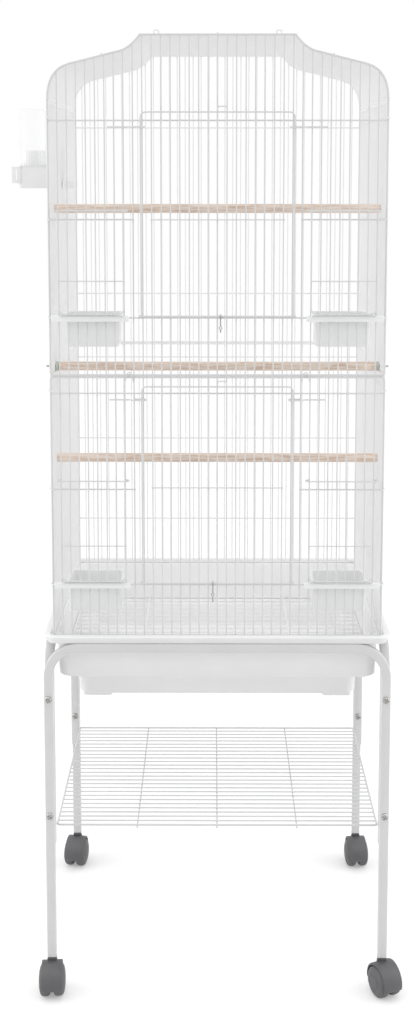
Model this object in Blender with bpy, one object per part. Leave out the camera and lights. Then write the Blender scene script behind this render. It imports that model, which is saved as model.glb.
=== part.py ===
"""Tall wire bird cage on a rolling stand.

Metres, +Z up. X runs across the front, -Y is the front, and the cage's middle is first modelled at
X = Y = 0 with the floor at Z = 0. The last step moves the whole object so that the middle of its
outer box stands on the origin. Two cage sections, a crowned roof, sliding doors, cups, perches, a
pan with its grate, and a stand of four bent square tubes with a shelf and four casters.
"""

import math
from typing import NamedTuple

import bmesh
import bpy
from mathutils import Matrix, Vector

# Clearances
GAP = 0.0003
WELD = 0.0002

# Steps in a round corner that is seen from above
CORNER_STEPS = 2

# Wire sizes
BAR = 0.0018
CROSS = 0.0022
FRAME = 0.0028
DOOR_WIRE = 0.0022

# Cage
CAGE_WIDTH = 0.457
CAGE_DEPTH = 0.356
FRONT_SPACES = 36
SIDE_SPACES = 28

# Heights that stack up from the casters
LEG_LENGTH = 0.4635
PAN_LIP_HEIGHT = 0.0114
PAN_SEAT_DEPTH = 0.0038
LOWER_SECTION_HEIGHT = 0.3676
UPPER_SECTION_HEIGHT = 0.3742
LOWER_SILL_RISE = 0.0747
LOWER_MID_RISE = 0.2097
LOWER_HEAD_RISE = 0.3441
UPPER_SILL_RISE = 0.0803
UPPER_MID_RISE = 0.2138
UPPER_HEAD_RISE = 0.3464
SIDE_HEAD_LIFT = 0.0033

# Roof outline: a flat crown, a hollow shoulder, a gentle slope and a round eave
ROOF_RISE = 0.0855
CROWN_HALF = 0.104
SHOULDER_REACH = 0.032
SHOULDER_DROP = 0.0225
SHOULDER_PULL = 0.014
SHOULDER_PULL_LIFT = 0.0027
EAVE_REACH = 0.0285
EAVE_DROP = 0.0470
EAVE_PULL = 0.0385
SHOULDER_STEPS = 2
EAVE_STEPS = 2
ROOF_SPACES = 28
ROOF_CROSS_REACH = 0.155
ROOF_LOOP_REACH = 0.082
ROOF_LOOP_WIDTH = 0.0067
ROOF_LOOP_RISE = 0.0062

# Sliding doors. Bars are counted from the middle of the front
DOOR_BAR = 8
DOOR_INNER_BAR = 7
SPLIT_BAR = 9
FEEDER_INNER_BAR = 10
FEEDER_OUTER_BAR = 17
DOOR_STANDOFF = 0.0046
DOOR_SIDE_CLEARANCE = 0.0019
UPPER_DOOR_TOP_RISE = 0.0111
LOWER_DOOR_TOP_RISE = 0.0097
LOWER_DOOR_MID_LIFT = 0.0035
DOOR_CORNER = 0.006
DOOR_HANDLE_RISE = 0.0075
HOOK_CLEARANCE = 0.0028
FEEDER_DOOR_TOP_RISE = 0.0120
FEEDER_DOOR_CORNER = 0.008
UPPER_FEEDER_MID_RISE = 0.0455
LOWER_FEEDER_MID_RISE = 0.0512
GUIDE_DROP = 0.0088
GUIDE_ARM_SPACES = 11.66
GUIDE_KNEE_SPACES = 9.45
GUIDE_KNEE_RUN = 0.004
GUIDE_EYE_CLEARANCE = 0.0008
GUIDE_EYE_INSET = 0.0050

# Latches that hang on the doors' bottom bars
LATCH_WIDTH = 0.0050
UPPER_LATCH_LENGTH = 0.0225
LOWER_LATCH_LENGTH = 0.0270
LATCH_THICKNESS = 0.0016
LATCH_EYE = 0.0019
LATCH_EYE_WALL = 0.0010
LATCH_EYE_SIDES = 8
UPPER_LATCH_X = 0.0042
LOWER_LATCH_X = -0.0062

# Clips that tie the two sections
CLIP_WIRE = 0.0016
CLIP_RISE = 0.0052
CLIP_ARCH_HEIGHT = 0.0147
CLIP_LEG = 0.0040
CLIP_TOP_HALF = 0.0028

# Feeder cups, set in from the bars at the sides of their openings
CUP_INNER_INSET = 0.0061
CUP_OUTER_INSET = 0.0073
CUP_DEPTH = 0.056
CUP_HEIGHT = 0.044
CUP_WALL = 0.0018
CUP_CORNER = 0.005
CUP_TAPER = 0.0015
CUP_LIP_OVERHANG = 0.0064
CUP_LIP_EDGE_INSET = 0.0020
CUP_LIP_DROP = 0.0085
CUP_LIP_THICKNESS = 0.0020
CUP_SHELF_THICKNESS = 0.0020

# Perches
PERCH_RADIUS = 0.00635
PERCH_SIDES = 14
PERCH_SPACES = 9.5
UPPER_PERCH_RISE = 0.2270
MIDDLE_PERCH_RISE = 0.0054
LOWER_PERCH_RISE = 0.2420
PERCH_SCREW_RADIUS = 0.0015
PERCH_WASHER_RADIUS = 0.0068
PERCH_WASHER_WIDTH = 0.0041
PERCH_NUT_RADIUS = 0.0048
PERCH_NUT_WIDTH = 0.0040
PERCH_SCREW_REACH = 0.0170

# Drinker hooked on the left side
DRINKER_Y_SPACES = -0.5
DRINKER_REACH = 0.0652
DRINKER_CENTRE = 0.0420
BOTTLE_RADIUS = 0.0195
BOTTLE_WALL = 0.0015
BOTTLE_HEIGHT = 0.0605
BOTTLE_SHOULDER_WIDTH = 0.0049
BOTTLE_SHOULDER_DROP = 0.0030
BOTTLE_SIDES = 16
COLLAR_RADIUS = 0.0185
COLLAR_HEIGHT = 0.0220
TROUGH_RISE = 0.2534
TROUGH_HEIGHT = 0.0329
TROUGH_WIDTH = 0.0400
TROUGH_CORNER = 0.0100
TROUGH_TAPER = 0.0025
TROUGH_LID = 0.0018
TROUGH_INNER_EDGE = 0.0065
TROUGH_TAB_REACH = 0.0061
TROUGH_TAB_WIDTH = 0.0130
TROUGH_TAB_DROP = 0.0240
TROUGH_TAB_THICKNESS = 0.0030
NECK_SIDE_CLEARANCE = 0.0006
NECK_HEIGHT = 0.0110
DISH_REACH = 0.0190
DISH_WIDTH = 0.0340
DISH_WALL = 0.0018
DISH_STANDOFF = 0.0012

# Pan and its grate. The lip overhangs the stand's rails and the seat lies round the cage's foot
PAN_SIDE_OVERHANG = 0.00015
PAN_END_OVERHANG = 0.00365
PAN_SEAT_SIDE_CLEARANCE = 0.0040
PAN_SEAT_END_CLEARANCE = 0.0045
PAN_WALL = 0.0022
PAN_LIP_CORNER = 0.0180
PAN_LIP_ROUND = 0.0012
PAN_LIP_EDGE = 0.0028
PAN_SKIRT_INSET = 0.0060
PAN_BODY_INSET = 0.0070
PAN_BASIN_INSET = 0.0325
PAN_BODY_DEPTH = 0.0609
PAN_BASIN_DEPTH = 0.0345
PAN_BODY_TAPER = 0.0015
PAN_BASIN_TAPER = 0.0020
PAN_SEAT_CORNER = 0.0075
PAN_BODY_CORNER = 0.020
PAN_FOOT_SIDE_INSET = 0.0075
PAN_FOOT_WIDTH = 0.0419
PAN_FOOT_LENGTH = 0.030
PAN_FOOT_HEIGHT = 0.0062
PAN_FOOT_END_INSET = 0.0100
GRATE_SPACES = 18
GRATE_CROSS_REACH = 0.110
GRATE_CLEARANCE = 0.0005

# Stand, whose legs stand outside the cage
TUBE = 0.0127
STAND_SIDE_REACH = 0.0080
STAND_END_REACH = 0.0050
FRONT_BEND = 0.0425
SIDE_BEND = 0.0400
BEND_STEPS = 6
SIDE_LEG_LENGTH = 0.3001
UPPER_BOLT_DROP = 0.0803
LOWER_BOLT_DROP = 0.2516
BOLT_RADIUS = 0.0021
BOLT_HEAD_RADIUS = 0.0045
BOLT_HEAD_THICKNESS = 0.0026
BOLT_HEAD_CROWN = 0.0028
BOLT_HEAD_EDGE = 0.0010
BOLT_SIDES = 6
BOLT_HEAD_SIDES = 8
SCREW_SIDES = 8
BOLT_SPARE = 0.0010
SHELF_DROP = 0.2743
SHELF_END_INSET = 0.014
SHELF_SPACES = 26
SHELF_CROSS_REACH = 0.114
SHELF_TIP = 0.003

# Casters: the hood turns on its stem and the wheels trail behind it
STEM_SOCKET = 0.0076
STEM_SOCKET_DEPTH = 0.020
STEM_COLLAR = 0.0123
STEM_COLLAR_HEIGHT = 0.0050
STEM_PIN_RADIUS = 0.0030
STEM_PIN_LENGTH = 0.0038
STEM_PIN_SIDES = 8
WHEEL_RADIUS = 0.0220
WHEEL_WIDTH = 0.0140
WHEEL_DOME = 0.0025
WHEEL_DOME_RADIUS = 0.0130
WHEEL_SIDES = 12
AXLE_RADIUS = 0.0025
CASTER_TRAIL = 0.0080
HOOD_SIDE_OVERHANG = 0.0023
HOOD_SIDE_ROUND = 0.0040
HOOD_SHOULDER = 0.0038
HOOD_WEB = 0.0040
HOOD_CLEARANCE = 0.0010
HOOD_WALL = 0.0042
HOOD_TOP_WALL = 0.0040
HOOD_STEPS = 9
HOOD_FRONT_ANGLE = -8.0
HOOD_BACK_ANGLE = 205.0
CASTER_YAWS = {"front_left": 4.0, "front_right": 25.0, "back_left": -9.0, "back_right": 5.0}

# Places that follow from the sizes above
HALF_WIDTH = CAGE_WIDTH / 2
HALF_DEPTH = CAGE_DEPTH / 2
FRONT_PITCH = CAGE_WIDTH / FRONT_SPACES
SIDE_PITCH = CAGE_DEPTH / SIDE_SPACES
STAND_HALF_WIDTH = HALF_WIDTH + STAND_SIDE_REACH
STAND_HALF_DEPTH = HALF_DEPTH + STAND_END_REACH
PAN_HALF_WIDTH = STAND_HALF_WIDTH + TUBE / 2 + PAN_SIDE_OVERHANG
PAN_HALF_DEPTH = STAND_HALF_DEPTH + TUBE / 2 + PAN_END_OVERHANG
SEAT_HALF_WIDTH = HALF_WIDTH + PAN_SEAT_SIDE_CLEARANCE
SEAT_HALF_DEPTH = HALF_DEPTH + PAN_SEAT_END_CLEARANCE
WHEEL_INNER = HOOD_WEB / 2 + HOOD_CLEARANCE
WHEEL_OUTER = WHEEL_INNER + WHEEL_WIDTH
HOOD_HALF_WIDTH = WHEEL_OUTER + HOOD_SIDE_OVERHANG
HOOD_TOP = 2 * WHEEL_RADIUS + HOOD_CLEARANCE + HOOD_TOP_WALL
CASTER_HEIGHT = HOOD_TOP + GAP + STEM_COLLAR_HEIGHT + GAP
RAIL_TOP = CASTER_HEIGHT + LEG_LENGTH
PAN_LIP_BOTTOM = RAIL_TOP + GAP
PAN_LIP_TOP = PAN_LIP_BOTTOM + PAN_LIP_HEIGHT
PAN_SEAT = PAN_LIP_TOP - PAN_SEAT_DEPTH
FRONT_Y = -HALF_DEPTH
BACK_Y = HALF_DEPTH
DOOR_Y = FRONT_Y - DOOR_STANDOFF
FRONT_POST_OUTER = HALF_WIDTH + FRAME / 2
SIDE_X = FRONT_POST_OUTER + GAP + WELD - FRAME / 2
SIDE_CROSS_X = SIDE_X + FRAME / 2 - WELD + CROSS / 2
SIDE_HALF_DEPTH = HALF_DEPTH - FRAME / 2 - GAP
BOLT_HEIGHTS = (RAIL_TOP - UPPER_BOLT_DROP, RAIL_TOP - LOWER_BOLT_DROP)
SHELF_HEIGHT = RAIL_TOP - SHELF_DROP
SHELF_HALF_DEPTH = STAND_HALF_DEPTH - SHELF_END_INSET
FEEDER_INNER_X = FEEDER_INNER_BAR * FRONT_PITCH
FEEDER_OUTER_X = FEEDER_OUTER_BAR * FRONT_PITCH


class Section(NamedTuple):
    """Heights of one cage section's rails, from its foot to its top."""

    name: str
    foot: float
    sill: float
    mid: float
    head: float
    top: float
    door_mid: float
    door_top: float
    feeder_mid_rise: float
    latch_x: float
    latch_length: float


LOWER_FOOT = PAN_SEAT + GAP
UPPER_FOOT = LOWER_FOOT + LOWER_SECTION_HEIGHT + GAP
ROOF_EDGE = UPPER_FOOT + UPPER_SECTION_HEIGHT
LOWER = Section(
    "lower",
    LOWER_FOOT,
    LOWER_FOOT + LOWER_SILL_RISE,
    LOWER_FOOT + LOWER_MID_RISE,
    LOWER_FOOT + LOWER_HEAD_RISE,
    LOWER_FOOT + LOWER_SECTION_HEIGHT,
    LOWER_FOOT + LOWER_MID_RISE + LOWER_DOOR_MID_LIFT,
    LOWER_FOOT + LOWER_HEAD_RISE + LOWER_DOOR_TOP_RISE,
    LOWER_FEEDER_MID_RISE,
    LOWER_LATCH_X,
    LOWER_LATCH_LENGTH,
)
UPPER = Section(
    "upper",
    UPPER_FOOT,
    UPPER_FOOT + UPPER_SILL_RISE,
    UPPER_FOOT + UPPER_MID_RISE,
    UPPER_FOOT + UPPER_HEAD_RISE,
    ROOF_EDGE,
    UPPER_FOOT + UPPER_MID_RISE,
    UPPER_FOOT + UPPER_HEAD_RISE + UPPER_DOOR_TOP_RISE,
    UPPER_FEEDER_MID_RISE,
    UPPER_LATCH_X,
    UPPER_LATCH_LENGTH,
)


class Finish(NamedTuple):
    """Surface of a piece: linear colour, roughness, metallic and alpha."""

    colour: tuple
    roughness: float
    metallic: float = 0.0
    alpha: float = 1.0


WHITE_COAT = Finish((0.83, 0.83, 0.84), 0.35)
WHITE_PLASTIC = Finish((0.85, 0.85, 0.85), 0.40)
CUP_PLASTIC = Finish((0.82, 0.83, 0.84), 0.30, 0.0, 0.8)
CLEAR_PLASTIC = Finish((0.90, 0.92, 0.93), 0.08, 0.0, 0.3)
BARE_WOOD = Finish((0.72, 0.50, 0.36), 0.60)
PLATED_STEEL = Finish((0.45, 0.45, 0.46), 0.25, 1.0)
GREY_NYLON = Finish((0.055, 0.055, 0.058), 0.45)
BLACK_NYLON = Finish((0.020, 0.020, 0.022), 0.50)


def clear_scene():
    """Removes what the file opened with."""
    for thing in list(bpy.data.objects):
        bpy.data.objects.remove(thing, do_unlink=True)


def material_for(name, finish):
    """One Principled material of its own for a piece."""
    made = bpy.data.materials.new(name)
    made.use_nodes = True
    shader = made.node_tree.nodes["Principled BSDF"]
    shader.inputs["Base Color"].default_value = (*finish.colour, 1.0)
    shader.inputs["Roughness"].default_value = finish.roughness
    shader.inputs["Metallic"].default_value = finish.metallic
    shader.inputs["Alpha"].default_value = finish.alpha
    return made


def object_from(name, mesh_data, parent):
    """Turns a finished bmesh into an object under its parent."""
    bmesh.ops.recalc_face_normals(mesh_data, faces=mesh_data.faces)
    mesh = bpy.data.meshes.new(name)
    mesh_data.to_mesh(mesh)
    mesh_data.free()
    made = bpy.data.objects.new(name, mesh)
    bpy.context.collection.objects.link(made)
    made.parent = parent
    return made


def piece(name, mesh_data, finish, parent, round_faces=False):
    """A named sub-part with its material."""
    made = object_from(name, mesh_data, parent)
    made.data.materials.append(material_for(name, finish))
    if round_faces:
        made.data.shade_smooth()
        made.data.set_sharp_from_angle(angle=math.radians(40))
    return made


def combine(target, mesh_data, label, operation="UNION"):
    """Adds a hidden shape to a piece, or cuts it away, with an exact Boolean."""
    tool = object_from(target.name + "_" + label, mesh_data, target.parent)
    tool.hide_render = True
    tool.display_type = "WIRE"
    step = target.modifiers.new(label, "BOOLEAN")
    step.operation = operation
    step.solver = "EXACT"
    step.object = tool


def empty_at(name, place, parent, yaw=0.0):
    """An empty that stands on a joint's axis."""
    made = bpy.data.objects.new(name, None)
    bpy.context.collection.objects.link(made)
    made.parent = parent
    made.location = place
    made.rotation_euler = (0.0, 0.0, math.radians(yaw))
    return made


def block(mesh_data, low, high):
    """A box between two corners."""
    low = Vector(low)
    high = Vector(high)
    size = high - low
    matrix = Matrix.Translation((low + high) / 2) @ Matrix.Diagonal((*size, 1.0))
    bmesh.ops.create_cube(mesh_data, size=1.0, matrix=matrix)


def upright(mesh_data, x, y, low, high, width):
    """A square wire along Z."""
    half = width / 2
    block(mesh_data, (x - half, y - half, low), (x + half, y + half, high))


def across(mesh_data, y, z, low, high, width):
    """A square wire along X."""
    half = width / 2
    block(mesh_data, (low, y - half, z - half), (high, y + half, z + half))


def inward(mesh_data, x, z, low, high, width):
    """A square wire along Y."""
    half = width / 2
    block(mesh_data, (x - half, low, z - half), (x + half, high, z + half))


def sideways(before, point, after, normal):
    """The sideways step at a bend that keeps the runs on both sides at full width."""
    if before is None:
        return normal.cross((after - point).normalized())
    if after is None:
        return normal.cross((point - before).normalized())
    arriving = normal.cross((point - before).normalized())
    leaving = normal.cross((after - point).normalized())
    mitre = (arriving + leaving).normalized()
    return mitre / mitre.dot(arriving)


def bent_wire(mesh_data, path, normal, width, depth, closed=False):
    """A square wire or tube bent along a flat path whose plane is square to the normal."""
    normal = Vector(normal)
    points = [Vector(point) for point in path]
    rings = []
    for i, point in enumerate(points):
        before = points[i - 1] if closed or i else None
        after = points[(i + 1) % len(points)] if closed or i < len(points) - 1 else None
        step = sideways(before, point, after, normal) * width / 2
        rise = normal * depth / 2
        corners = (point - step - rise, point + step - rise, point + step + rise, point - step + rise)
        rings.append([mesh_data.verts.new(corner) for corner in corners])
    pairs = list(zip(rings, rings[1:]))
    if closed:
        pairs.append((rings[-1], rings[0]))
    else:
        mesh_data.faces.new(reversed(rings[0]))
        mesh_data.faces.new(rings[-1])
    for near, far in pairs:
        for k in range(4):
            mesh_data.faces.new((near[k], near[(k + 1) % 4], far[(k + 1) % 4], far[k]))


def loft(mesh_data, loops):
    """A closed skin through loops of equal length, with its first and last loop filled."""
    rings = [[mesh_data.verts.new(point) for point in loop] for loop in loops]
    for near, far in zip(rings, rings[1:]):
        for k in range(len(near)):
            after = (k + 1) % len(near)
            mesh_data.faces.new((near[k], near[after], far[after], far[k]))
    mesh_data.faces.new(reversed(rings[0]))
    mesh_data.faces.new(rings[-1])


def circle(radius, sides):
    """Points of a circle with a flat side facing down its first axis' quarter turns."""
    half_step = math.pi / sides
    turns = [half_step + 2 * math.pi * k / sides for k in range(sides)]
    return [(radius * math.cos(turn), radius * math.sin(turn)) for turn in turns]


def turned(mesh_data, stations, origin, axis, sides):
    """A turned shape: stations are (distance along the axis, radius) pairs from one end to the other."""
    axis = Vector(axis)
    origin = Vector(origin)
    first = Vector((0, 0, 1)) if abs(axis.z) < 0.5 else Vector((1, 0, 0))
    second = axis.cross(first)
    loops = []
    for along, radius in stations:
        centre = origin + axis * along
        loops.append([centre + first * a + second * b for a, b in circle(radius, sides)])
    loft(mesh_data, loops)


def rounded_loop(half_x, half_y, corner, height, centre=(0.0, 0.0), steps=CORNER_STEPS):
    """A level rectangle with round corners, as a loop of points."""
    loop = []
    for quarter, (sx, sy) in enumerate(((1, 1), (-1, 1), (-1, -1), (1, -1))):
        middle_x = centre[0] + sx * (half_x - corner)
        middle_y = centre[1] + sy * (half_y - corner)
        for k in range(steps + 1):
            turn = math.radians(90 * (quarter + k / steps))
            loop.append((middle_x + corner * math.cos(turn), middle_y + corner * math.sin(turn), height))
    return loop


def arc(centre, radius, start, end, steps):
    """Points of an arc in a plane, from one angle to another in degrees."""
    turns = [math.radians(start + (end - start) * k / steps) for k in range(steps + 1)]
    return [(centre[0] + radius * math.cos(t), centre[1] + radius * math.sin(t)) for t in turns]


def soft_curve(start, control, end, steps):
    """Points of a quadratic curve after its start and up to its end."""
    points = []
    for k in range(1, steps + 1):
        t = k / steps
        near, pull, far = (1 - t) ** 2, 2 * t * (1 - t), t * t
        points.append(tuple(near * a + pull * b + far * c for a, b, c in zip(start, control, end)))
    return points


def roof_outline():
    """The roof's outline from the left eave to the right one, as (x, z) pairs on the wire's middle."""
    crown_z = ROOF_EDGE + ROOF_RISE
    crown = (CROWN_HALF, crown_z)
    shoulder = (CROWN_HALF + SHOULDER_REACH, crown_z - SHOULDER_DROP)
    shoulder_pull = (CROWN_HALF + SHOULDER_PULL, shoulder[1] + SHOULDER_PULL_LIFT)
    eave = (HALF_WIDTH - EAVE_REACH, ROOF_EDGE + EAVE_DROP)
    edge = (HALF_WIDTH, ROOF_EDGE)
    eave_pull = (HALF_WIDTH, ROOF_EDGE + EAVE_PULL)
    right = [crown, *soft_curve(crown, shoulder_pull, shoulder, SHOULDER_STEPS), eave]
    right += soft_curve(eave, eave_pull, edge, EAVE_STEPS)
    left = [(-x, z) for x, z in reversed(right)]
    return left + right


def roof_height(x, outline):
    """Height of the roof's outline at x."""
    for (x0, z0), (x1, z1) in zip(outline, outline[1:]):
        if x0 <= x <= x1 and x1 > x0:
            return z0 + (z1 - z0) * (x - x0) / (x1 - x0)
    return outline[0][1]


def section_outline(section, half_span):
    """Closed path round a section: a plain rectangle, or one that follows the roof."""
    low = section.foot + FRAME / 2
    if section is LOWER:
        high = section.top - FRAME / 2
        return [(-half_span, low), (half_span, low), (half_span, high), (-half_span, high)]
    outline = roof_outline()
    return [(-half_span, low), (half_span, low), *reversed(outline)]


def gable_height(section, x):
    """Height where an upright ends in the section's top rail."""
    if section is LOWER:
        return section.top - FRAME / 2
    return roof_height(x, roof_outline())


def front_spans(section, index):
    """The stretches of one front upright that the door openings leave."""
    x = index * FRONT_PITCH
    low = section.foot + FRAME / 2
    high = gable_height(section, x)
    if abs(index) <= DOOR_INNER_BAR:
        return [(low, section.sill), (section.head, high)]
    if FEEDER_INNER_BAR < abs(index) < FEEDER_OUTER_BAR:
        return [(low, section.sill), (section.mid, high)]
    return [(low, high)]


def guide_height(section):
    """Height of the arms whose eyes guide the main door."""
    return section.head - GUIDE_DROP


def guide_path(section, side):
    """Path of a guide: an arm on the bars, a knee forward, and an eye round the door's side wire."""
    weld_y = FRONT_Y - BAR / 2 - DOOR_WIRE / 2 + WELD
    front_y = DOOR_Y - DOOR_WIRE / 2 - GUIDE_EYE_CLEARANCE - DOOR_WIRE / 2
    back_y = FRONT_Y + BAR / 2 + DOOR_WIRE / 2 - WELD
    eye_x = DOOR_BAR * FRONT_PITCH - GUIDE_EYE_INSET + DOOR_WIRE / 2
    end_x = SPLIT_BAR * FRONT_PITCH + BAR / 2
    knee_x = GUIDE_KNEE_SPACES * FRONT_PITCH
    plan = [
        (GUIDE_ARM_SPACES * FRONT_PITCH, weld_y),
        (knee_x, weld_y),
        (knee_x - GUIDE_KNEE_RUN, front_y),
        (eye_x, front_y),
        (eye_x, back_y),
        (end_x, back_y),
    ]
    return [(side * x, y, guide_height(section)) for x, y in plan]


def make_front_panel(section, root):
    """Front wall of a section, with its openings, door guides and, on top, the roof's outline."""
    ring = bmesh.new()
    outline = [(x, FRONT_Y, z) for x, z in section_outline(section, HALF_WIDTH)]
    bent_wire(ring, outline, (0, 1, 0), FRAME, FRAME, closed=True)
    panel = piece("front_panel_" + section.name, ring, WHITE_COAT, root)

    rails = bmesh.new()
    for height in (section.sill, section.head):
        across(rails, FRONT_Y, height, -HALF_WIDTH, HALF_WIDTH, CROSS)
    for side in (-1, 1):
        ends = sorted((side * HALF_WIDTH, side * (SPLIT_BAR * FRONT_PITCH - BAR)))
        across(rails, FRONT_Y, section.mid, *ends, CROSS)
    combine(panel, rails, "rails")

    bars = bmesh.new()
    half_count = FRONT_SPACES // 2
    for index in range(1 - half_count, half_count):
        for low, high in front_spans(section, index):
            upright(bars, index * FRONT_PITCH, FRONT_Y, low, high, BAR)
    combine(panel, bars, "bars")

    guides = bmesh.new()
    for side in (-1, 1):
        bent_wire(guides, guide_path(section, side), (0, 0, 1), DOOR_WIRE, DOOR_WIRE)
    combine(panel, guides, "guides")
    return panel


def make_back_panel(section, root):
    """Back wall of a section: full-height bars with cross wires welded behind its posts."""
    ring = bmesh.new()
    outline = [(x, BACK_Y, z) for x, z in section_outline(section, HALF_WIDTH)]
    bent_wire(ring, outline, (0, 1, 0), FRAME, FRAME, closed=True)
    panel = piece("back_panel_" + section.name, ring, WHITE_COAT, root)

    rails = bmesh.new()
    rail_y = BACK_Y + FRAME / 2 - WELD + CROSS / 2
    for height in (section.sill, section.mid, section.head):
        across(rails, rail_y, height, -HALF_WIDTH, HALF_WIDTH, CROSS)
    combine(panel, rails, "rails")

    bars = bmesh.new()
    half_count = FRONT_SPACES // 2
    low = section.foot + FRAME / 2
    for index in range(1 - half_count, half_count):
        x = index * FRONT_PITCH
        upright(bars, x, BACK_Y, low, gable_height(section, x), BAR)
    combine(panel, bars, "bars")
    return panel


def make_side_panel(section, side, root):
    """Side wall of a section. Its cross wires lie outside and their ends pass the corner posts."""
    name = ("left" if side < 0 else "right") + "_panel_" + section.name
    low = section.foot + FRAME / 2
    high = section.top - FRAME / 2
    if section is UPPER:
        high -= GAP + WELD + FRAME / 2
    x = side * SIDE_X
    half_span = SIDE_HALF_DEPTH - FRAME / 2
    ring = bmesh.new()
    outline = [(x, -half_span, low), (x, half_span, low), (x, half_span, high), (x, -half_span, high)]
    bent_wire(ring, outline, (1, 0, 0), FRAME, FRAME, closed=True)
    panel = piece(name, ring, WHITE_COAT, root)

    rails = bmesh.new()
    tip = HALF_DEPTH + FRAME
    for height in (section.sill, section.mid, section.head + SIDE_HEAD_LIFT):
        inward(rails, side * SIDE_CROSS_X, height, -tip, tip, CROSS)
    combine(panel, rails, "rails")

    bars = bmesh.new()
    half_count = SIDE_SPACES // 2
    for index in range(1 - half_count, half_count):
        upright(bars, x, index * SIDE_PITCH, low, high, BAR)
    combine(panel, bars, "bars")
    return panel


def make_roof(root):
    """Roof: wires across that follow the outline, two eave rails and three wires along the depth."""
    outline = roof_outline()
    half_span = SIDE_HALF_DEPTH - FRAME / 2
    first = bmesh.new()
    bent_wire(first, [(x, -half_span, z) for x, z in outline], (0, 1, 0), FRAME, FRAME)
    roof = piece("roof_panel", first, WHITE_COAT, root)
    last = bmesh.new()
    bent_wire(last, [(x, half_span, z) for x, z in outline], (0, 1, 0), FRAME, FRAME)
    combine(roof, last, "back_wire")
    eaves = bmesh.new()
    reach = half_span + FRAME / 2 + WELD / 2
    for side in (-1, 1):
        inward(eaves, side * HALF_WIDTH, ROOF_EDGE, -reach, reach, FRAME + WELD)
    combine(roof, eaves, "eaves")
    add_roof_wires(roof, outline, half_span)


def add_roof_wires(roof, outline, half_span):
    """Adds the inner wires, the wires along the depth and two small loops."""
    wires = bmesh.new()
    pitch = 2 * half_span / ROOF_SPACES
    half_count = ROOF_SPACES // 2
    for index in range(1 - half_count, half_count):
        bent_wire(wires, [(x, index * pitch, z) for x, z in outline], (0, 1, 0), BAR, BAR)
    combine(roof, wires, "wires")
    braces = bmesh.new()
    lift = FRAME / 2 - WELD + CROSS / 2
    reach = half_span + FRAME / 2
    for x in (-ROOF_CROSS_REACH, 0.0, ROOF_CROSS_REACH):
        rise = roof_height(x + CROSS, outline) - roof_height(x - CROSS, outline)
        up = Vector((-rise, 0.0, 2 * CROSS)).normalized()
        middle = Vector((x, 0.0, roof_height(x, outline))) + up * lift
        ends = [middle - Vector((0.0, reach, 0.0)), middle + Vector((0.0, reach, 0.0))]
        bent_wire(braces, ends, up, CROSS, CROSS)
    for side in (-1, 1):
        crown = roof_height(0.0, outline)
        near = side * ROOF_LOOP_REACH - ROOF_LOOP_WIDTH / 2
        far = near + ROOF_LOOP_WIDTH
        top = crown + ROOF_LOOP_RISE
        loop = [(near, crown), (near, top), (far, top), (far, crown)]
        bent_wire(braces, [(x, -half_span, z) for x, z in loop], (0, 1, 0), CLIP_WIRE, CLIP_WIRE)
    combine(roof, braces, "braces")


def hook_path(bar_x, side, height):
    """Path of a wire's end that passes a panel bar on one side and curls behind it."""
    pass_x = bar_x + side * (BAR / 2 + HOOK_CLEARANCE + DOOR_WIRE / 2)
    behind_y = FRONT_Y + BAR / 2 + HOOK_CLEARANCE / 2 + DOOR_WIRE / 2
    end_x = bar_x - side * BAR / 2
    return [(pass_x, DOOR_Y, height), (pass_x, behind_y, height), (end_x, behind_y, height)]


def round_corner(corner, inset, toward_x, toward_z):
    """Two points that cut a corner of a door's frame."""
    x, z = corner
    return [(x + toward_x * inset, z), (x, z + toward_z * inset)]


def door_bar_height(section):
    """Height of a main door's bottom bar, whose hooks lie just above the sill."""
    return section.sill + CROSS / 2 + GAP + DOOR_WIRE / 2


def make_main_door(section, root):
    """Main door: frame with rounded top corners, bars, a middle wire, hooked ends and a lift loop."""
    half = DOOR_BAR * FRONT_PITCH + DOOR_SIDE_CLEARANCE
    low = door_bar_height(section)
    high = section.door_top
    left_top = round_corner((-half, high), DOOR_CORNER, 1, -1)
    right_top = round_corner((half, high), DOOR_CORNER, -1, -1)
    path = [(-half, low), (half, low), *reversed(right_top), *left_top]
    frame = bmesh.new()
    bent_wire(frame, [(x, DOOR_Y, z) for x, z in path], (0, 1, 0), DOOR_WIRE, DOOR_WIRE, closed=True)
    door = piece("main_door_" + section.name, frame, WHITE_COAT, root)

    bars = bmesh.new()
    for index in range(-DOOR_INNER_BAR, DOOR_INNER_BAR + 1):
        upright(bars, index * FRONT_PITCH, DOOR_Y, low, high, BAR)
    combine(door, bars, "bars")

    extras = bmesh.new()
    hook_wire = DOOR_WIRE - WELD
    slim_bar = BAR - WELD
    for side in (-1, 1):
        start = (side * (half - DOOR_WIRE), DOOR_Y, low)
        hook = hook_path(side * DOOR_BAR * FRONT_PITCH, side, low)
        bent_wire(extras, [start, *hook], (0, 0, 1), hook_wire, hook_wire)
    reach = DOOR_INNER_BAR * FRONT_PITCH
    front_y = DOOR_Y - BAR / 2 - GAP - CROSS / 2
    staple = [(-reach, DOOR_Y), (-reach, front_y), (reach, front_y), (reach, DOOR_Y)]
    bent_wire(extras, [(x, y, section.door_mid) for x, y in staple], (0, 0, 1), slim_bar, slim_bar)
    loop_top = high + DOOR_HANDLE_RISE
    loop = [(0.0, high), (0.0, loop_top), (FRONT_PITCH, loop_top), (FRONT_PITCH, high)]
    bent_wire(extras, [(x, DOOR_Y, z) for x, z in loop], (0, 1, 0), slim_bar, slim_bar)
    combine(door, extras, "extras")
    return door


def feeder_door_heights(section):
    """Bottom, middle and top wire of a small door, which stands just above its cup's shelf."""
    low = cup_shelf_top(section) + GAP + DOOR_WIRE / 2
    return low, low + section.feeder_mid_rise, section.mid + FEEDER_DOOR_TOP_RISE


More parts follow.
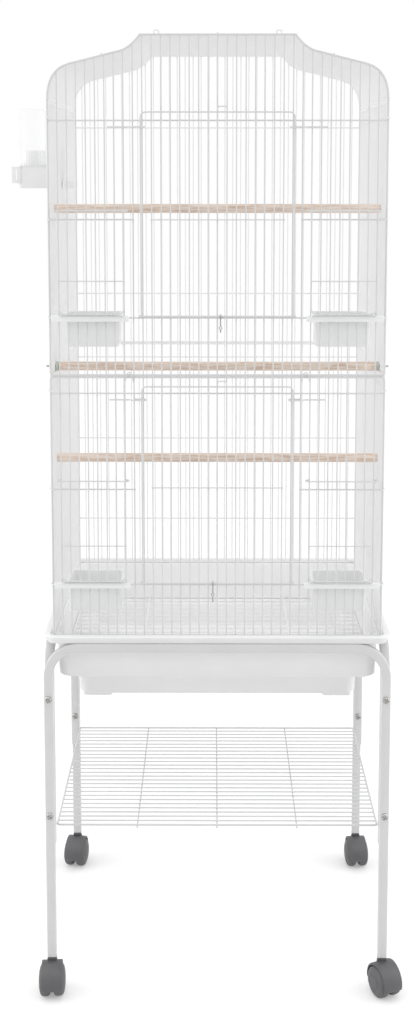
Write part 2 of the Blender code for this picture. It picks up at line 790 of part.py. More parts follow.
def make_feeder_door(section, side, root):
    """Small door over a cup: rounded bottom corners and a top wire whose ends curl round two bars."""
    inner = FEEDER_INNER_X
    outer = FEEDER_OUTER_X
    low, mid, high = feeder_door_heights(section)
    inner_bottom = round_corner((inner, low), FEEDER_DOOR_CORNER, 1, 1)
    outer_bottom = round_corner((outer, low), FEEDER_DOOR_CORNER, -1, 1)
    path = [*reversed(inner_bottom), *outer_bottom, (outer, high), (inner, high)]
    frame = bmesh.new()
    flat = [(side * x, DOOR_Y, z) for x, z in path]
    bent_wire(frame, flat, (0, 1, 0), DOOR_WIRE, DOOR_WIRE, closed=True)
    name = "feeder_door_" + section.name + ("_left" if side < 0 else "_right")
    door = piece(name, frame, WHITE_COAT, root)

    bars = bmesh.new()
    for index in range(FEEDER_INNER_BAR + 1, FEEDER_OUTER_BAR):
        upright(bars, side * index * FRONT_PITCH, DOOR_Y, low, high, BAR)
    combine(door, bars, "bars")

    extras = bmesh.new()
    hook_wire = DOOR_WIRE - WELD
    slim_bar = BAR - WELD
    for bar_x, outward in ((inner, -1), (outer, 1)):
        start = (side * (bar_x - outward * DOOR_WIRE), DOOR_Y, high)
        hook = hook_path(side * bar_x, side * outward, high)
        bent_wire(extras, [start, *hook], (0, 0, 1), hook_wire, hook_wire)
    front_y = DOOR_Y - DOOR_WIRE / 2 - GAP - CROSS / 2
    staple = [(inner, DOOR_Y), (inner, front_y), (outer, front_y), (outer, DOOR_Y)]
    bent_wire(extras, [(side * x, y, mid) for x, y in staple], (0, 0, 1), slim_bar, slim_bar)
    combine(door, extras, "extras")
    return door


def make_latch(section, root):
    """Latch that hangs by its eye on the main door's bottom bar."""
    pivot = Vector((section.latch_x, DOOR_Y, door_bar_height(section)))
    sides = LATCH_EYE_SIDES
    outer = [(a, b) for a, b in circle(LATCH_EYE + LATCH_EYE_WALL, sides)]
    inner = [(a, b) for a, b in circle(LATCH_EYE, sides)]
    half = LATCH_WIDTH / 2
    ring = bmesh.new()
    loops = []
    for x, shape in ((-half, inner), (-half, outer), (half, outer), (half, inner)):
        loops.append([ring.verts.new((x, a, b)) for a, b in shape])
    for near, far in zip(loops, loops[1:] + loops[:1]):
        for k in range(sides):
            after = (k + 1) % sides
            ring.faces.new((near[k], near[after], far[after], far[k]))
    latch = piece("door_latch_" + section.name, ring, PLATED_STEEL, root)
    blade = bmesh.new()
    top = -LATCH_EYE - LATCH_EYE_WALL / 2
    thick = LATCH_THICKNESS / 2
    width = half - WELD
    block(blade, (-width, -thick, -section.latch_length), (width, thick, top))
    combine(latch, blade, "blade")
    latch.location = pivot
    bpy.data.objects[latch.name + "_blade"].location = pivot
    return latch


def make_section_clips(root):
    """Arched wire clips in front of the rails where the two sections meet."""
    y = FRONT_Y - FRAME / 2 - GAP - CLIP_WIRE / 2
    top = UPPER_FOOT + CLIP_RISE
    bar_half = FRONT_PITCH / 2
    half = [
        (bar_half, top - CLIP_ARCH_HEIGHT - CLIP_LEG),
        (bar_half, top - CLIP_ARCH_HEIGHT),
        (CLIP_TOP_HALF, top - CLIP_WIRE),
        (CLIP_TOP_HALF / 2, top),
    ]
    for name, side in (("left", -1), ("right", 1)):
        middle = side * (SPLIT_BAR + 0.5) * FRONT_PITCH
        path = [(middle - x, y, z) for x, z in half]
        path += [(middle + x, y, z) for x, z in reversed(half)]
        wire = bmesh.new()
        bent_wire(wire, path, (0, 1, 0), CLIP_WIRE, CLIP_WIRE)
        piece("section_clip_" + name, wire, WHITE_COAT, root)


def cup_shelf_top(section):
    """Top of the shelf by which a cup hangs over the sill."""
    return section.sill + CROSS / 2 + GAP + CUP_SHELF_THICKNESS


def make_cup(section, side, root):
    """Feeder cup that hangs over the sill, with its bowl inside the cage and its lip in front."""
    inner = FEEDER_INNER_X + CUP_INNER_INSET
    outer = FEEDER_OUTER_X - CUP_OUTER_INSET
    middle_x = side * (inner + outer) / 2
    half_x = (outer - inner) / 2
    front = FRONT_Y + FRAME / 2 + GAP
    middle_y = front + CUP_DEPTH / 2
    half_y = CUP_DEPTH / 2
    top = cup_shelf_top(section)
    low = top - CUP_HEIGHT
    centre = (middle_x, middle_y)
    taper = CUP_TAPER
    wall = CUP_WALL
    loops = [
        rounded_loop(half_x - taper, half_y - taper, CUP_CORNER, low, centre),
        rounded_loop(half_x, half_y, CUP_CORNER, top, centre),
        rounded_loop(half_x - wall, half_y - wall, CUP_CORNER - wall, top, centre),
        rounded_loop(half_x - taper - wall, half_y - taper - wall, CUP_CORNER - wall, low + wall, centre),
    ]
    bowl = bmesh.new()
    loft(bowl, loops)
    name = "feeder_cup_" + section.name + ("_left" if side < 0 else "_right")
    cup = piece(name, bowl, CUP_PLASTIC, root)

    lip = bmesh.new()
    lip_front = DOOR_Y - DOOR_WIRE / 2
    shelf_inner = FEEDER_INNER_X + BAR / 2 + 2 * GAP
    shelf_outer = FEEDER_OUTER_X - BAR / 2 - 2 * GAP
    low_x, high_x = sorted((side * shelf_inner, side * shelf_outer))
    shelf_low = top - CUP_SHELF_THICKNESS
    block(lip, (low_x, lip_front + WELD, shelf_low), (high_x, front + wall / 2, top - WELD))
    combine(cup, lip, "shelf")

    edge = bmesh.new()
    lip_inner = FEEDER_INNER_X - CUP_LIP_OVERHANG
    lip_outer = HALF_WIDTH - CUP_LIP_EDGE_INSET
    low_x, high_x = sorted((side * lip_inner, side * lip_outer))
    block(edge, (low_x, lip_front, top - CUP_LIP_DROP), (high_x, lip_front + CUP_LIP_THICKNESS, top))
    combine(cup, edge, "lip")
    return cup


def make_perches(root):
    """Three wooden dowels that reach from one side panel to the other, and the middle one's screws."""
    end = SIDE_X - FRAME / 2 - GAP
    washer_start = end - PERCH_WASHER_WIDTH
    y = -PERCH_SPACES * SIDE_PITCH
    places = (
        ("upper", UPPER_FOOT + UPPER_PERCH_RISE, end),
        ("middle", UPPER_FOOT + MIDDLE_PERCH_RISE, washer_start - GAP),
        ("lower", LOWER_FOOT + LOWER_PERCH_RISE, end),
    )
    for name, height, half_length in places:
        dowel = bmesh.new()
        stations = [(-half_length, PERCH_RADIUS), (half_length, PERCH_RADIUS)]
        turned(dowel, stations, (0, y, height), (1, 0, 0), PERCH_SIDES)
        piece("perch_" + name, dowel, BARE_WOOD, root, round_faces=True)
    outside = SIDE_X + FRAME / 2 + GAP
    stations = [
        (washer_start, PERCH_WASHER_RADIUS),
        (end, PERCH_WASHER_RADIUS),
        (end, PERCH_SCREW_RADIUS),
        (outside, PERCH_SCREW_RADIUS),
        (outside, PERCH_NUT_RADIUS),
        (outside + PERCH_NUT_WIDTH, PERCH_NUT_RADIUS),
        (outside + PERCH_NUT_WIDTH, PERCH_SCREW_RADIUS),
        (outside + PERCH_SCREW_REACH, PERCH_SCREW_RADIUS),
    ]
    for name, side in (("left", -1), ("right", 1)):
        screw = bmesh.new()
        turned(screw, stations, (0, y, UPPER_FOOT + MIDDLE_PERCH_RISE), (side, 0, 0), SCREW_SIDES)
        piece("perch_screw_" + name, screw, PLATED_STEEL, root, round_faces=True)


def make_drinker(root):
    """Drinker on the left side: a clear bottle upside down on a trough that reaches into the cage."""
    y = DRINKER_Y_SPACES * SIDE_PITCH
    centre = Vector((-HALF_WIDTH - DRINKER_CENTRE, y, UPPER_FOOT + TROUGH_RISE + TROUGH_HEIGHT))
    trough = make_trough(y, root)
    add_trough_mouth(trough, y, centre)
    foot = COLLAR_HEIGHT + GAP
    top = foot + BOTTLE_HEIGHT
    hollow = BOTTLE_RADIUS - BOTTLE_WALL
    inner_top = top - BOTTLE_WALL
    stations = [
        (inner_top, hollow - BOTTLE_SHOULDER_WIDTH),
        (inner_top - BOTTLE_SHOULDER_DROP, hollow),
        (foot, hollow),
        (foot, BOTTLE_RADIUS),
        (top - BOTTLE_SHOULDER_DROP, BOTTLE_RADIUS),
        (top, BOTTLE_RADIUS - BOTTLE_SHOULDER_WIDTH),
    ]
    bottle = bmesh.new()
    turned(bottle, stations, centre, (0, 0, 1), BOTTLE_SIDES)
    piece("drinker_bottle", bottle, CLEAR_PLASTIC, root, round_faces=True)


def make_trough(y, root):
    """Outer block of the drinker's trough."""
    outer_x = -HALF_WIDTH - DRINKER_REACH
    inner_x = -HALF_WIDTH - TROUGH_INNER_EDGE
    low = UPPER_FOOT + TROUGH_RISE
    half_x = (inner_x - outer_x) / 2
    half_y = TROUGH_WIDTH / 2
    middle = ((outer_x + inner_x) / 2, y)
    corner = TROUGH_CORNER
    body = bmesh.new()
    loops = [
        rounded_loop(half_x - TROUGH_TAPER, half_y - TROUGH_TAPER, corner, low, middle),
        rounded_loop(half_x, half_y, corner, low + corner, middle),
        rounded_loop(half_x, half_y, corner, low + TROUGH_HEIGHT, middle),
    ]
    loft(body, loops)
    trough = piece("drinker_trough", body, WHITE_PLASTIC, root)
    tab = bmesh.new()
    front = y - half_y
    top = low + TROUGH_HEIGHT - TROUGH_LID
    tab_low = (outer_x - TROUGH_TAB_REACH, front - TROUGH_TAB_THICKNESS / 3, top - TROUGH_TAB_DROP)
    tab_high = (outer_x - TROUGH_TAB_REACH + TROUGH_TAB_WIDTH, front + TROUGH_TAB_THICKNESS, top)
    block(tab, tab_low, tab_high)
    combine(trough, tab, "tab")
    return trough


def add_trough_mouth(trough, y, centre):
    """Adds the bottle's collar, the neck between two bars and the dish inside the cage."""
    low = UPPER_FOOT + TROUGH_RISE
    collar = bmesh.new()
    stations = [(-TROUGH_LID, COLLAR_RADIUS), (COLLAR_HEIGHT, COLLAR_RADIUS)]
    turned(collar, stations, centre, (0, 0, 1), BOTTLE_SIDES)
    combine(trough, collar, "collar")

    neck_half = SIDE_PITCH / 2 - BAR / 2 - NECK_SIDE_CLEARANCE
    dish_start = -SIDE_X + FRAME / 2 + DISH_STANDOFF
    neck_start = -HALF_WIDTH - TROUGH_INNER_EDGE - TROUGH_CORNER
    neck = bmesh.new()
    neck_low = (neck_start, y - neck_half, low + WELD)
    block(neck, neck_low, (dish_start + DISH_WALL / 2, y + neck_half, low + NECK_HEIGHT - WELD))
    combine(trough, neck, "neck")

    half_x = DISH_REACH / 2
    half_y = DISH_WIDTH / 2
    middle = (dish_start + half_x, y)
    corner = DISH_WALL * 2
    inside = corner - DISH_WALL
    dish = bmesh.new()
    loops = [
        rounded_loop(half_x, half_y, corner, low, middle, steps=1),
        rounded_loop(half_x, half_y, corner, low + NECK_HEIGHT, middle, steps=1),
        rounded_loop(half_x - DISH_WALL, half_y - DISH_WALL, inside, low + NECK_HEIGHT, middle, steps=1),
        rounded_loop(half_x - DISH_WALL, half_y - DISH_WALL, inside, low + DISH_WALL, middle, steps=1),
    ]
    loft(dish, loops)
    combine(trough, dish, "dish")


def lip_loop(inset, corner, height):
    """A loop of the pan, set in from the outside of its lip."""
    return rounded_loop(PAN_HALF_WIDTH - inset, PAN_HALF_DEPTH - inset, corner, height)


def seat_loop(inset, corner, height):
    """A loop of the pan, set in from the edge of the seat round the cage's foot."""
    return rounded_loop(SEAT_HALF_WIDTH - inset, SEAT_HALF_DEPTH - inset, corner, height)


def make_pan(root):
    """Pan: a lip that stands on the stand's rails, a seat for the cage, a body and a lower basin."""
    lip_corner = PAN_LIP_CORNER
    lip_top = PAN_LIP_TOP
    skirt = PAN_SKIRT_INSET
    skirt_corner = lip_corner - skirt
    inner_skirt = skirt + PAN_WALL
    turn = PAN_LIP_ROUND
    under_seat = PAN_SEAT - PAN_WALL
    ledge = PAN_SEAT - PAN_BODY_DEPTH
    floor = ledge - PAN_BASIN_DEPTH
    body = PAN_BODY_INSET
    basin = PAN_BASIN_INSET
    corner = PAN_BODY_CORNER
    inner_corner = corner - PAN_WALL
    loops = [
        seat_loop(basin + PAN_BASIN_TAPER, corner, floor),
        seat_loop(basin, corner, ledge),
        seat_loop(body + PAN_BODY_TAPER, corner, ledge),
        seat_loop(body, corner, under_seat),
        lip_loop(inner_skirt, skirt_corner - PAN_WALL, under_seat),
        lip_loop(inner_skirt, skirt_corner - PAN_WALL, PAN_LIP_BOTTOM),
        lip_loop(skirt, skirt_corner, PAN_LIP_BOTTOM),
        lip_loop(0.0, lip_corner, lip_top - PAN_LIP_EDGE),
        lip_loop(0.0, lip_corner, lip_top - turn),
        lip_loop(turn, lip_corner - turn, lip_top),
        seat_loop(-turn, PAN_SEAT_CORNER + turn, lip_top),
        seat_loop(0.0, PAN_SEAT_CORNER, PAN_SEAT),
        seat_loop(body + PAN_WALL, inner_corner, PAN_SEAT),
        seat_loop(body + PAN_BODY_TAPER + PAN_WALL, inner_corner, ledge + PAN_WALL),
        seat_loop(basin + PAN_WALL, inner_corner, ledge + PAN_WALL),
        seat_loop(basin + PAN_BASIN_TAPER + PAN_WALL, inner_corner, floor + PAN_WALL),
    ]
    shell = bmesh.new()
    loft(shell, loops)
    pan = piece("base_pan", shell, WHITE_PLASTIC, root)

    feet = bmesh.new()
    outer_x = SEAT_HALF_WIDTH - PAN_BASIN_INSET - PAN_FOOT_SIDE_INSET
    outer_y = SEAT_HALF_DEPTH - PAN_BASIN_INSET - PAN_FOOT_END_INSET
    for side in (-1, 1):
        for end in (-1, 1):
            xs = sorted((side * (outer_x - PAN_FOOT_WIDTH), side * outer_x))
            ys = sorted((end * outer_y, end * (outer_y - PAN_FOOT_LENGTH)))
            block(feet, (xs[0], ys[0], floor - PAN_FOOT_HEIGHT), (xs[1], ys[1], floor + PAN_WALL / 2))
    combine(pan, feet, "feet")


def make_grate(root):
    """Grate that lies on the pan's ledge."""
    inset = PAN_BODY_INSET + PAN_BODY_TAPER + PAN_WALL + GRATE_CLEARANCE + FRAME / 2
    half_x = SEAT_HALF_WIDTH - inset
    half_y = SEAT_HALF_DEPTH - inset
    z = PAN_SEAT - PAN_BODY_DEPTH + PAN_WALL + GAP + FRAME / 2
    corner = PAN_BODY_CORNER - PAN_WALL - GRATE_CLEARANCE
    ring = bmesh.new()
    bent_wire(ring, rounded_loop(half_x, half_y, corner, z), (0, 0, 1), FRAME, FRAME, closed=True)
    grate = piece("floor_grate", ring, WHITE_COAT, root)
    wires = bmesh.new()
    pitch = 2 * half_y / GRATE_SPACES
    for index in range(1 - GRATE_SPACES // 2, GRATE_SPACES // 2):
        across(wires, index * pitch, z, -half_x, half_x, BAR)
    combine(grate, wires, "wires")
    braces = bmesh.new()
    for x in (-GRATE_CROSS_REACH, GRATE_CROSS_REACH):
        inward(braces, x, z + FRAME / 2 - WELD + CROSS / 2, -half_y, half_y, CROSS)
    combine(grate, braces, "braces")


def hoop(half_span, foot, radius):
    """Path of an upside-down U: up one leg, over the top and down the other."""
    rail = RAIL_TOP - TUBE / 2
    left = arc((-half_span + radius, rail - radius), radius, 180, 90, BEND_STEPS)
    right = arc((half_span - radius, rail - radius), radius, 90, 0, BEND_STEPS)
    return [(-half_span, foot), *left, *right, (half_span, foot)]


def bolt_holes(x, y_low, y_high):
    """Cutter for the two bolts of a corner, which run along Y."""
    cutter = bmesh.new()
    for side in (-1, 1):
        for height in BOLT_HEIGHTS:
            stations = [(y_low, BOLT_RADIUS + GAP), (y_high, BOLT_RADIUS + GAP)]
            turned(cutter, stations, (side * x, 0, height), (0, 1, 0), BOLT_SIDES)
    return cutter


def make_stand_frames(root):
    """Front and back frames with the casters' sockets, and the side frames bolted behind their legs."""
    side_half = STAND_HALF_DEPTH - TUBE - GAP
    for name, y in (("front", -STAND_HALF_DEPTH), ("back", STAND_HALF_DEPTH)):
        tube = bmesh.new()
        path = [(x, y, z) for x, z in hoop(STAND_HALF_WIDTH, CASTER_HEIGHT, FRONT_BEND)]
        bent_wire(tube, path, (0, 1, 0), TUBE, TUBE)
        frame = piece("stand_frame_" + name, tube, WHITE_COAT, root)
        sockets = bmesh.new()
        for side in (-1, 1):
            x = side * STAND_HALF_WIDTH
            upright(sockets, x, y, CASTER_HEIGHT - TUBE, CASTER_HEIGHT + STEM_SOCKET_DEPTH, STEM_SOCKET)
        combine(frame, sockets, "sockets", "DIFFERENCE")
        combine(frame, bolt_holes(STAND_HALF_WIDTH, y - TUBE, y + TUBE), "bolt_holes", "DIFFERENCE")
    foot = RAIL_TOP - SIDE_LEG_LENGTH
    for name, side in (("left", -1), ("right", 1)):
        x = side * STAND_HALF_WIDTH
        tube = bmesh.new()
        bent_wire(tube, [(x, y, z) for y, z in hoop(side_half, foot, SIDE_BEND)], (1, 0, 0), TUBE, TUBE)
        frame = piece("stand_frame_" + name, tube, WHITE_COAT, root)
        cutter = bmesh.new()
        reach = side_half + TUBE
        for height in BOLT_HEIGHTS:
            for end in (-1, 1):
                ends = sorted((end * reach, end * (side_half - TUBE)))
                stations = [(ends[0], BOLT_RADIUS + GAP), (ends[1], BOLT_RADIUS + GAP)]
                turned(cutter, stations, (x, 0, height), (0, 1, 0), BOLT_SIDES)
        combine(frame, cutter, "bolt_holes", "DIFFERENCE")


def make_bolts(root):
    """Cross-head bolts whose heads all face the front."""
    side_half = STAND_HALF_DEPTH - TUBE - GAP
    length = 2 * TUBE + GAP - BOLT_SPARE
    rows = (("front", -STAND_HALF_DEPTH - TUBE / 2), ("back", side_half - TUBE / 2))
    for row, face in rows:
        for side_name, side in (("left", -1), ("right", 1)):
            for level, height in zip(("upper", "lower"), BOLT_HEIGHTS):
                bolt = bmesh.new()
                head = [
                    (-GAP - BOLT_HEAD_THICKNESS, BOLT_HEAD_CROWN),
                    (-GAP - BOLT_HEAD_EDGE, BOLT_HEAD_RADIUS),
                    (-GAP, BOLT_HEAD_RADIUS),
                ]
                place = (side * STAND_HALF_WIDTH, face, height)
                turned(bolt, head, place, (0, 1, 0), BOLT_HEAD_SIDES)
                name = "bolt_" + row + "_" + side_name + "_" + level
                made = piece(name, bolt, PLATED_STEEL, root, round_faces=True)
                shank = bmesh.new()
                stations = [(-GAP - WELD, BOLT_RADIUS), (length, BOLT_RADIUS)]
                turned(shank, stations, place, (0, 1, 0), BOLT_SIDES)
                combine(made, shank, "shank")


def make_shelf(root):
    """Wire shelf between the legs, with three wires under it whose tips pass the front wire."""
    half_x = STAND_HALF_WIDTH - TUBE / 2 - GAP - FRAME / 2
    ring = bmesh.new()
    corners = [(-half_x, -SHELF_HALF_DEPTH), (half_x, -SHELF_HALF_DEPTH), (half_x, SHELF_HALF_DEPTH)]
    corners.append((-half_x, SHELF_HALF_DEPTH))
    bent_wire(ring, [(x, y, SHELF_HEIGHT) for x, y in corners], (0, 0, 1), FRAME, FRAME, closed=True)
    shelf = piece("shelf", ring, WHITE_COAT, root)
    wires = bmesh.new()
    pitch = 2 * SHELF_HALF_DEPTH / SHELF_SPACES
    for index in range(1 - SHELF_SPACES // 2, SHELF_SPACES // 2):
        across(wires, index * pitch, SHELF_HEIGHT, -half_x, half_x, CROSS)
    combine(shelf, wires, "wires")
    braces = bmesh.new()
    reach = SHELF_HALF_DEPTH + FRAME / 2
    z = SHELF_HEIGHT - FRAME / 2 + WELD - CROSS / 2
    for x in (-SHELF_CROSS_REACH, 0.0, SHELF_CROSS_REACH):
        inward(braces, x, z, -reach - SHELF_TIP, reach, CROSS)
    combine(shelf, braces, "braces")


def hood_outline(centre_y, centre_z, drop):
    """Side outline of a caster's hood: an arc round the wheels, closed by a flat top for the stem."""
    radius = WHEEL_RADIUS + HOOD_CLEARANCE + HOOD_WALL - drop
    points = arc((centre_y, centre_z), radius, HOOD_FRONT_ANGLE, HOOD_BACK_ANGLE, HOOD_STEPS)
    return [(y, min(z, HOOD_TOP)) for y, z in points]


def make_caster(name, x, y, yaw, root):
    """One caster: a stem in its leg, a hood that swivels on it and a pair of wheels on an axle."""
    stem = bmesh.new()
    collar_low = CASTER_HEIGHT - GAP - STEM_COLLAR_HEIGHT
    upright(stem, x, y, collar_low, CASTER_HEIGHT - GAP, STEM_COLLAR)
    stem_piece = piece("caster_stem_" + name, stem, BLACK_NYLON, root)
    core = bmesh.new()
    plug = STEM_SOCKET - 2 * GAP
    upright(core, x, y, CASTER_HEIGHT - GAP - WELD, CASTER_HEIGHT + STEM_SOCKET_DEPTH - GAP, plug)
    combine(stem_piece, core, "plug")
    pin = bmesh.new()
    stations = [(-STEM_PIN_LENGTH, STEM_PIN_RADIUS), (WELD, STEM_PIN_RADIUS)]
    turned(pin, stations, (x, y, collar_low), (0, 0, 1), STEM_PIN_SIDES)
    combine(stem_piece, pin, "pin")

    swivel = empty_at("caster_swivel_" + name, (x, y, 0.0), root, yaw)
    centre_y = -CASTER_TRAIL
    centre_z = WHEEL_RADIUS
    hood = bmesh.new()
    loops = []
    crown_half = HOOD_HALF_WIDTH - HOOD_SIDE_ROUND
    for x, drop in (
        (-HOOD_HALF_WIDTH, HOOD_SHOULDER),
        (-crown_half, 0.0),
        (crown_half, 0.0),
        (HOOD_HALF_WIDTH, HOOD_SHOULDER),
    ):
        loops.append([(x, a, b) for a, b in hood_outline(centre_y, centre_z, drop)])
    loft(hood, loops)
    hood_piece = piece("caster_hood_" + name, hood, GREY_NYLON, swivel)
    pockets = bmesh.new()
    pocket_radius = WHEEL_RADIUS / math.cos(math.pi / WHEEL_SIDES) + HOOD_CLEARANCE
    for side in (-1, 1):
        stations = [(HOOD_WEB / 2, pocket_radius), (HOOD_HALF_WIDTH * 2, pocket_radius)]
        turned(pockets, stations, (0, centre_y, centre_z), (side, 0, 0), WHEEL_SIDES)
    combine(hood_piece, pockets, "pockets", "DIFFERENCE")
    bores = bmesh.new()
    axle_hole = [(-HOOD_WEB, AXLE_RADIUS + GAP), (HOOD_WEB, AXLE_RADIUS + GAP)]
    turned(bores, axle_hole, (0, centre_y, centre_z), (1, 0, 0), STEM_PIN_SIDES)
    pin_hole = [(-STEM_PIN_LENGTH - GAP, STEM_PIN_RADIUS + GAP), (TUBE, STEM_PIN_RADIUS + GAP)]
    turned(bores, pin_hole, (0, 0, collar_low), (0, 0, 1), STEM_PIN_SIDES)
    combine(hood_piece, bores, "bores", "DIFFERENCE")

    axle = empty_at("caster_axle_" + name, (0.0, centre_y, centre_z), swivel)
    wheels = bmesh.new()
    rim = WHEEL_RADIUS / math.cos(math.pi / WHEEL_SIDES)
    right = [
        (WHEEL_INNER, AXLE_RADIUS),
        (WHEEL_INNER, rim),
        (WHEEL_OUTER - WHEEL_DOME, rim),
        (WHEEL_OUTER, WHEEL_DOME_RADIUS),
    ]
    left = [(-along, radius) for along, radius in reversed(right)]
    turned(wheels, left + right, (0, 0, 0), (1, 0, 0), WHEEL_SIDES)
    piece("caster_wheels_" + name, wheels, GREY_NYLON, axle, round_faces=True)


def make_casters(root):
    """One caster at the foot of each leg."""
    for name, yaw in CASTER_YAWS.items():
        x = STAND_HALF_WIDTH * (-1 if name.endswith("left") else 1)
        y = STAND_HALF_DEPTH * (-1 if name.startswith("front") else 1)
        make_caster(name, x, y, yaw, root)


def centre_on_floor(root):
    """Moves the object so that the middle of its outer box stands on the origin."""
    bpy.context.view_layer.update()
    corners = []
    for thing in bpy.context.scene.objects:
        if thing.type == "MESH" and not thing.hide_render:
            corners += [thing.matrix_world @ vertex.co for vertex in thing.data.vertices]
            for step in thing.modifiers:
                if step.operation == "UNION":
                    other = step.object
                    corners += [other.matrix_world @ vertex.co for vertex in other.data.vertices]
    lows = [min(corner[k] for corner in corners) for k in range(3)]
    highs = [max(corner[k] for corner in corners) for k in range(3)]
    root.location = (-(lows[0] + highs[0]) / 2, -(lows[1] + highs[1]) / 2, -lows[2])


def build():
    """Builds every piece of the cage and its stand."""
    clear_scene()
    root = empty_at("cage_middle", (0.0, 0.0, 0.0), None)
    for section in (LOWER, UPPER):
        make_front_panel(section, root)
        make_back_panel(section, root)
        make_main_door(section, root)
        make_latch(section, root)
        for side in (-1, 1):
            make_side_panel(section, side, root)
            make_feeder_door(section, side, root)
            make_cup(section, side, root)
    make_roof(root)
    make_section_clips(root)
    make_perches(root)
    make_drinker(root)
    make_pan(root)
    make_grate(root)
    make_stand_frames(root)
    make_bolts(root)
    make_shelf(root)
    make_casters(root)
    centre_on_floor(root)


build()
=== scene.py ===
"""Looks for a wire bird cage on a rolling tube stand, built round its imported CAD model.

Every grille, door, cup, tube and caster is modelled here in real sizes, in metres and in the CAD's
frame, and stands for the CAD node of the same name. Shapes are worked out about the middle of the
cage and are moved to the CAD's place when a piece is finished.
"""

import logging
import math
from dataclasses import dataclass, field
from enum import Enum
from typing import Any, Iterable, Optional, Sequence

import bmesh
import bpy
from mathutils import Matrix, Vector


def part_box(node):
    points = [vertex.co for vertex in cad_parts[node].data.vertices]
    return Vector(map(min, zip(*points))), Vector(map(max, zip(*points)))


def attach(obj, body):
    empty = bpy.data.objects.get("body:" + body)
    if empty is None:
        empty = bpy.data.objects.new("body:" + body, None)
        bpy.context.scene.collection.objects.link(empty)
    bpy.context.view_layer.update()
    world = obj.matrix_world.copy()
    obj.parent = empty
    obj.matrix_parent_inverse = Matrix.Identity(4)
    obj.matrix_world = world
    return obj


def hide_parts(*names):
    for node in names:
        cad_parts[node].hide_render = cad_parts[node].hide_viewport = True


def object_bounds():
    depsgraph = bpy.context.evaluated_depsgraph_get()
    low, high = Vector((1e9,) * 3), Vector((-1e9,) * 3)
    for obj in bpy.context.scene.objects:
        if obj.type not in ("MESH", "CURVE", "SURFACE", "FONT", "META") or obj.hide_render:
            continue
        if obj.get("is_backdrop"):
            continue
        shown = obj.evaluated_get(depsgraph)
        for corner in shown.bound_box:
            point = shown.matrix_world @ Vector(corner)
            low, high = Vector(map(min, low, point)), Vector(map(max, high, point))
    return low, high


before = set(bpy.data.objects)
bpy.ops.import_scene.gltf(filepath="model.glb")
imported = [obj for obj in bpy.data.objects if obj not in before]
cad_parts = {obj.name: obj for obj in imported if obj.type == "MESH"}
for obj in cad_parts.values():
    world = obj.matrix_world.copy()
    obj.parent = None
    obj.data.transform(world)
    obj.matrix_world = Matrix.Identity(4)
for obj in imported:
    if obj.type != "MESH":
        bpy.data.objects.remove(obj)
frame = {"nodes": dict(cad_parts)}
CAD_LOW, CAD_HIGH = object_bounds()
LOG = logging.getLogger("bird_cage")
MAIN_BODY = "cage_and_stand"
COAT_ROUGHNESS = 0.15
BUMP_STRENGTH = 0.6
WHITE = (1.0, 1.0, 1.0, 1.0)

# Small round on the edges of moulded plastic, in metres.
SOFT = 0.0004

Face = bmesh.types.BMFace
Piece = bpy.types.Object
Point = Sequence[float]
Socket = bpy.types.NodeSocket
Tree = bpy.types.NodeTree


class Side(Enum):
    """Which side of the cage a piece is on, as seen by someone who faces the doors."""

    LEFT = -1
    RIGHT = 1

    @property
    def word(self) -> str:
        """The side's name in a node's name."""
        return self.name.lower()


def middle_of_cage() -> Vector:
    """The point of the floor that is under the middle of the cage."""
    panel_low, panel_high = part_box("front_panel_lower")
    pan_low, pan_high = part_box("base_pan")
    return Vector(((panel_low.x + panel_high.x) / 2, (pan_low.y + pan_high.y) / 2, 0.0))


MIDDLE = middle_of_cage()


def linear(hex_colour: str) -> tuple[float, float, float, float]:
    """Turns an sRGB hex colour into linear values with full alpha.

    Args:
        hex_colour: six hex digits with a leading hash.

    Returns:
        Red, green, blue and alpha.
    """
    parts = []
    for start in (1, 3, 5):
        value = int(hex_colour[start:start + 2], 16) / 255
        parts.append(value / 12.92 if value <= 0.04045 else ((value + 0.055) / 1.055) ** 2.4)
    return (*parts, 1.0)


def add_node(
    tree: Tree,
    kind: str,
    settings: Optional[dict[str, Any]] = None,
    values: Optional[dict[Any, Any]] = None,
    links: Optional[dict[Any, Any]] = None,
) -> bpy.types.Node:
    """Adds a node with its settings, socket values and incoming links.

    Args:
        tree: the node tree that gets the node.
        kind: Blender's type name of the node.
        settings: properties of the node itself.
        values: input socket to default value.
        links: input socket to the output socket that feeds it.

    Returns:
        The new node.
    """
    node = tree.nodes.new(kind)
    for name, value in (settings or {}).items():
        setattr(node, name, value)
    for socket, value in (values or {}).items():
        node.inputs[socket].default_value = value
    for socket, source in (links or {}).items():
        tree.links.new(source, node.inputs[socket])
    return node


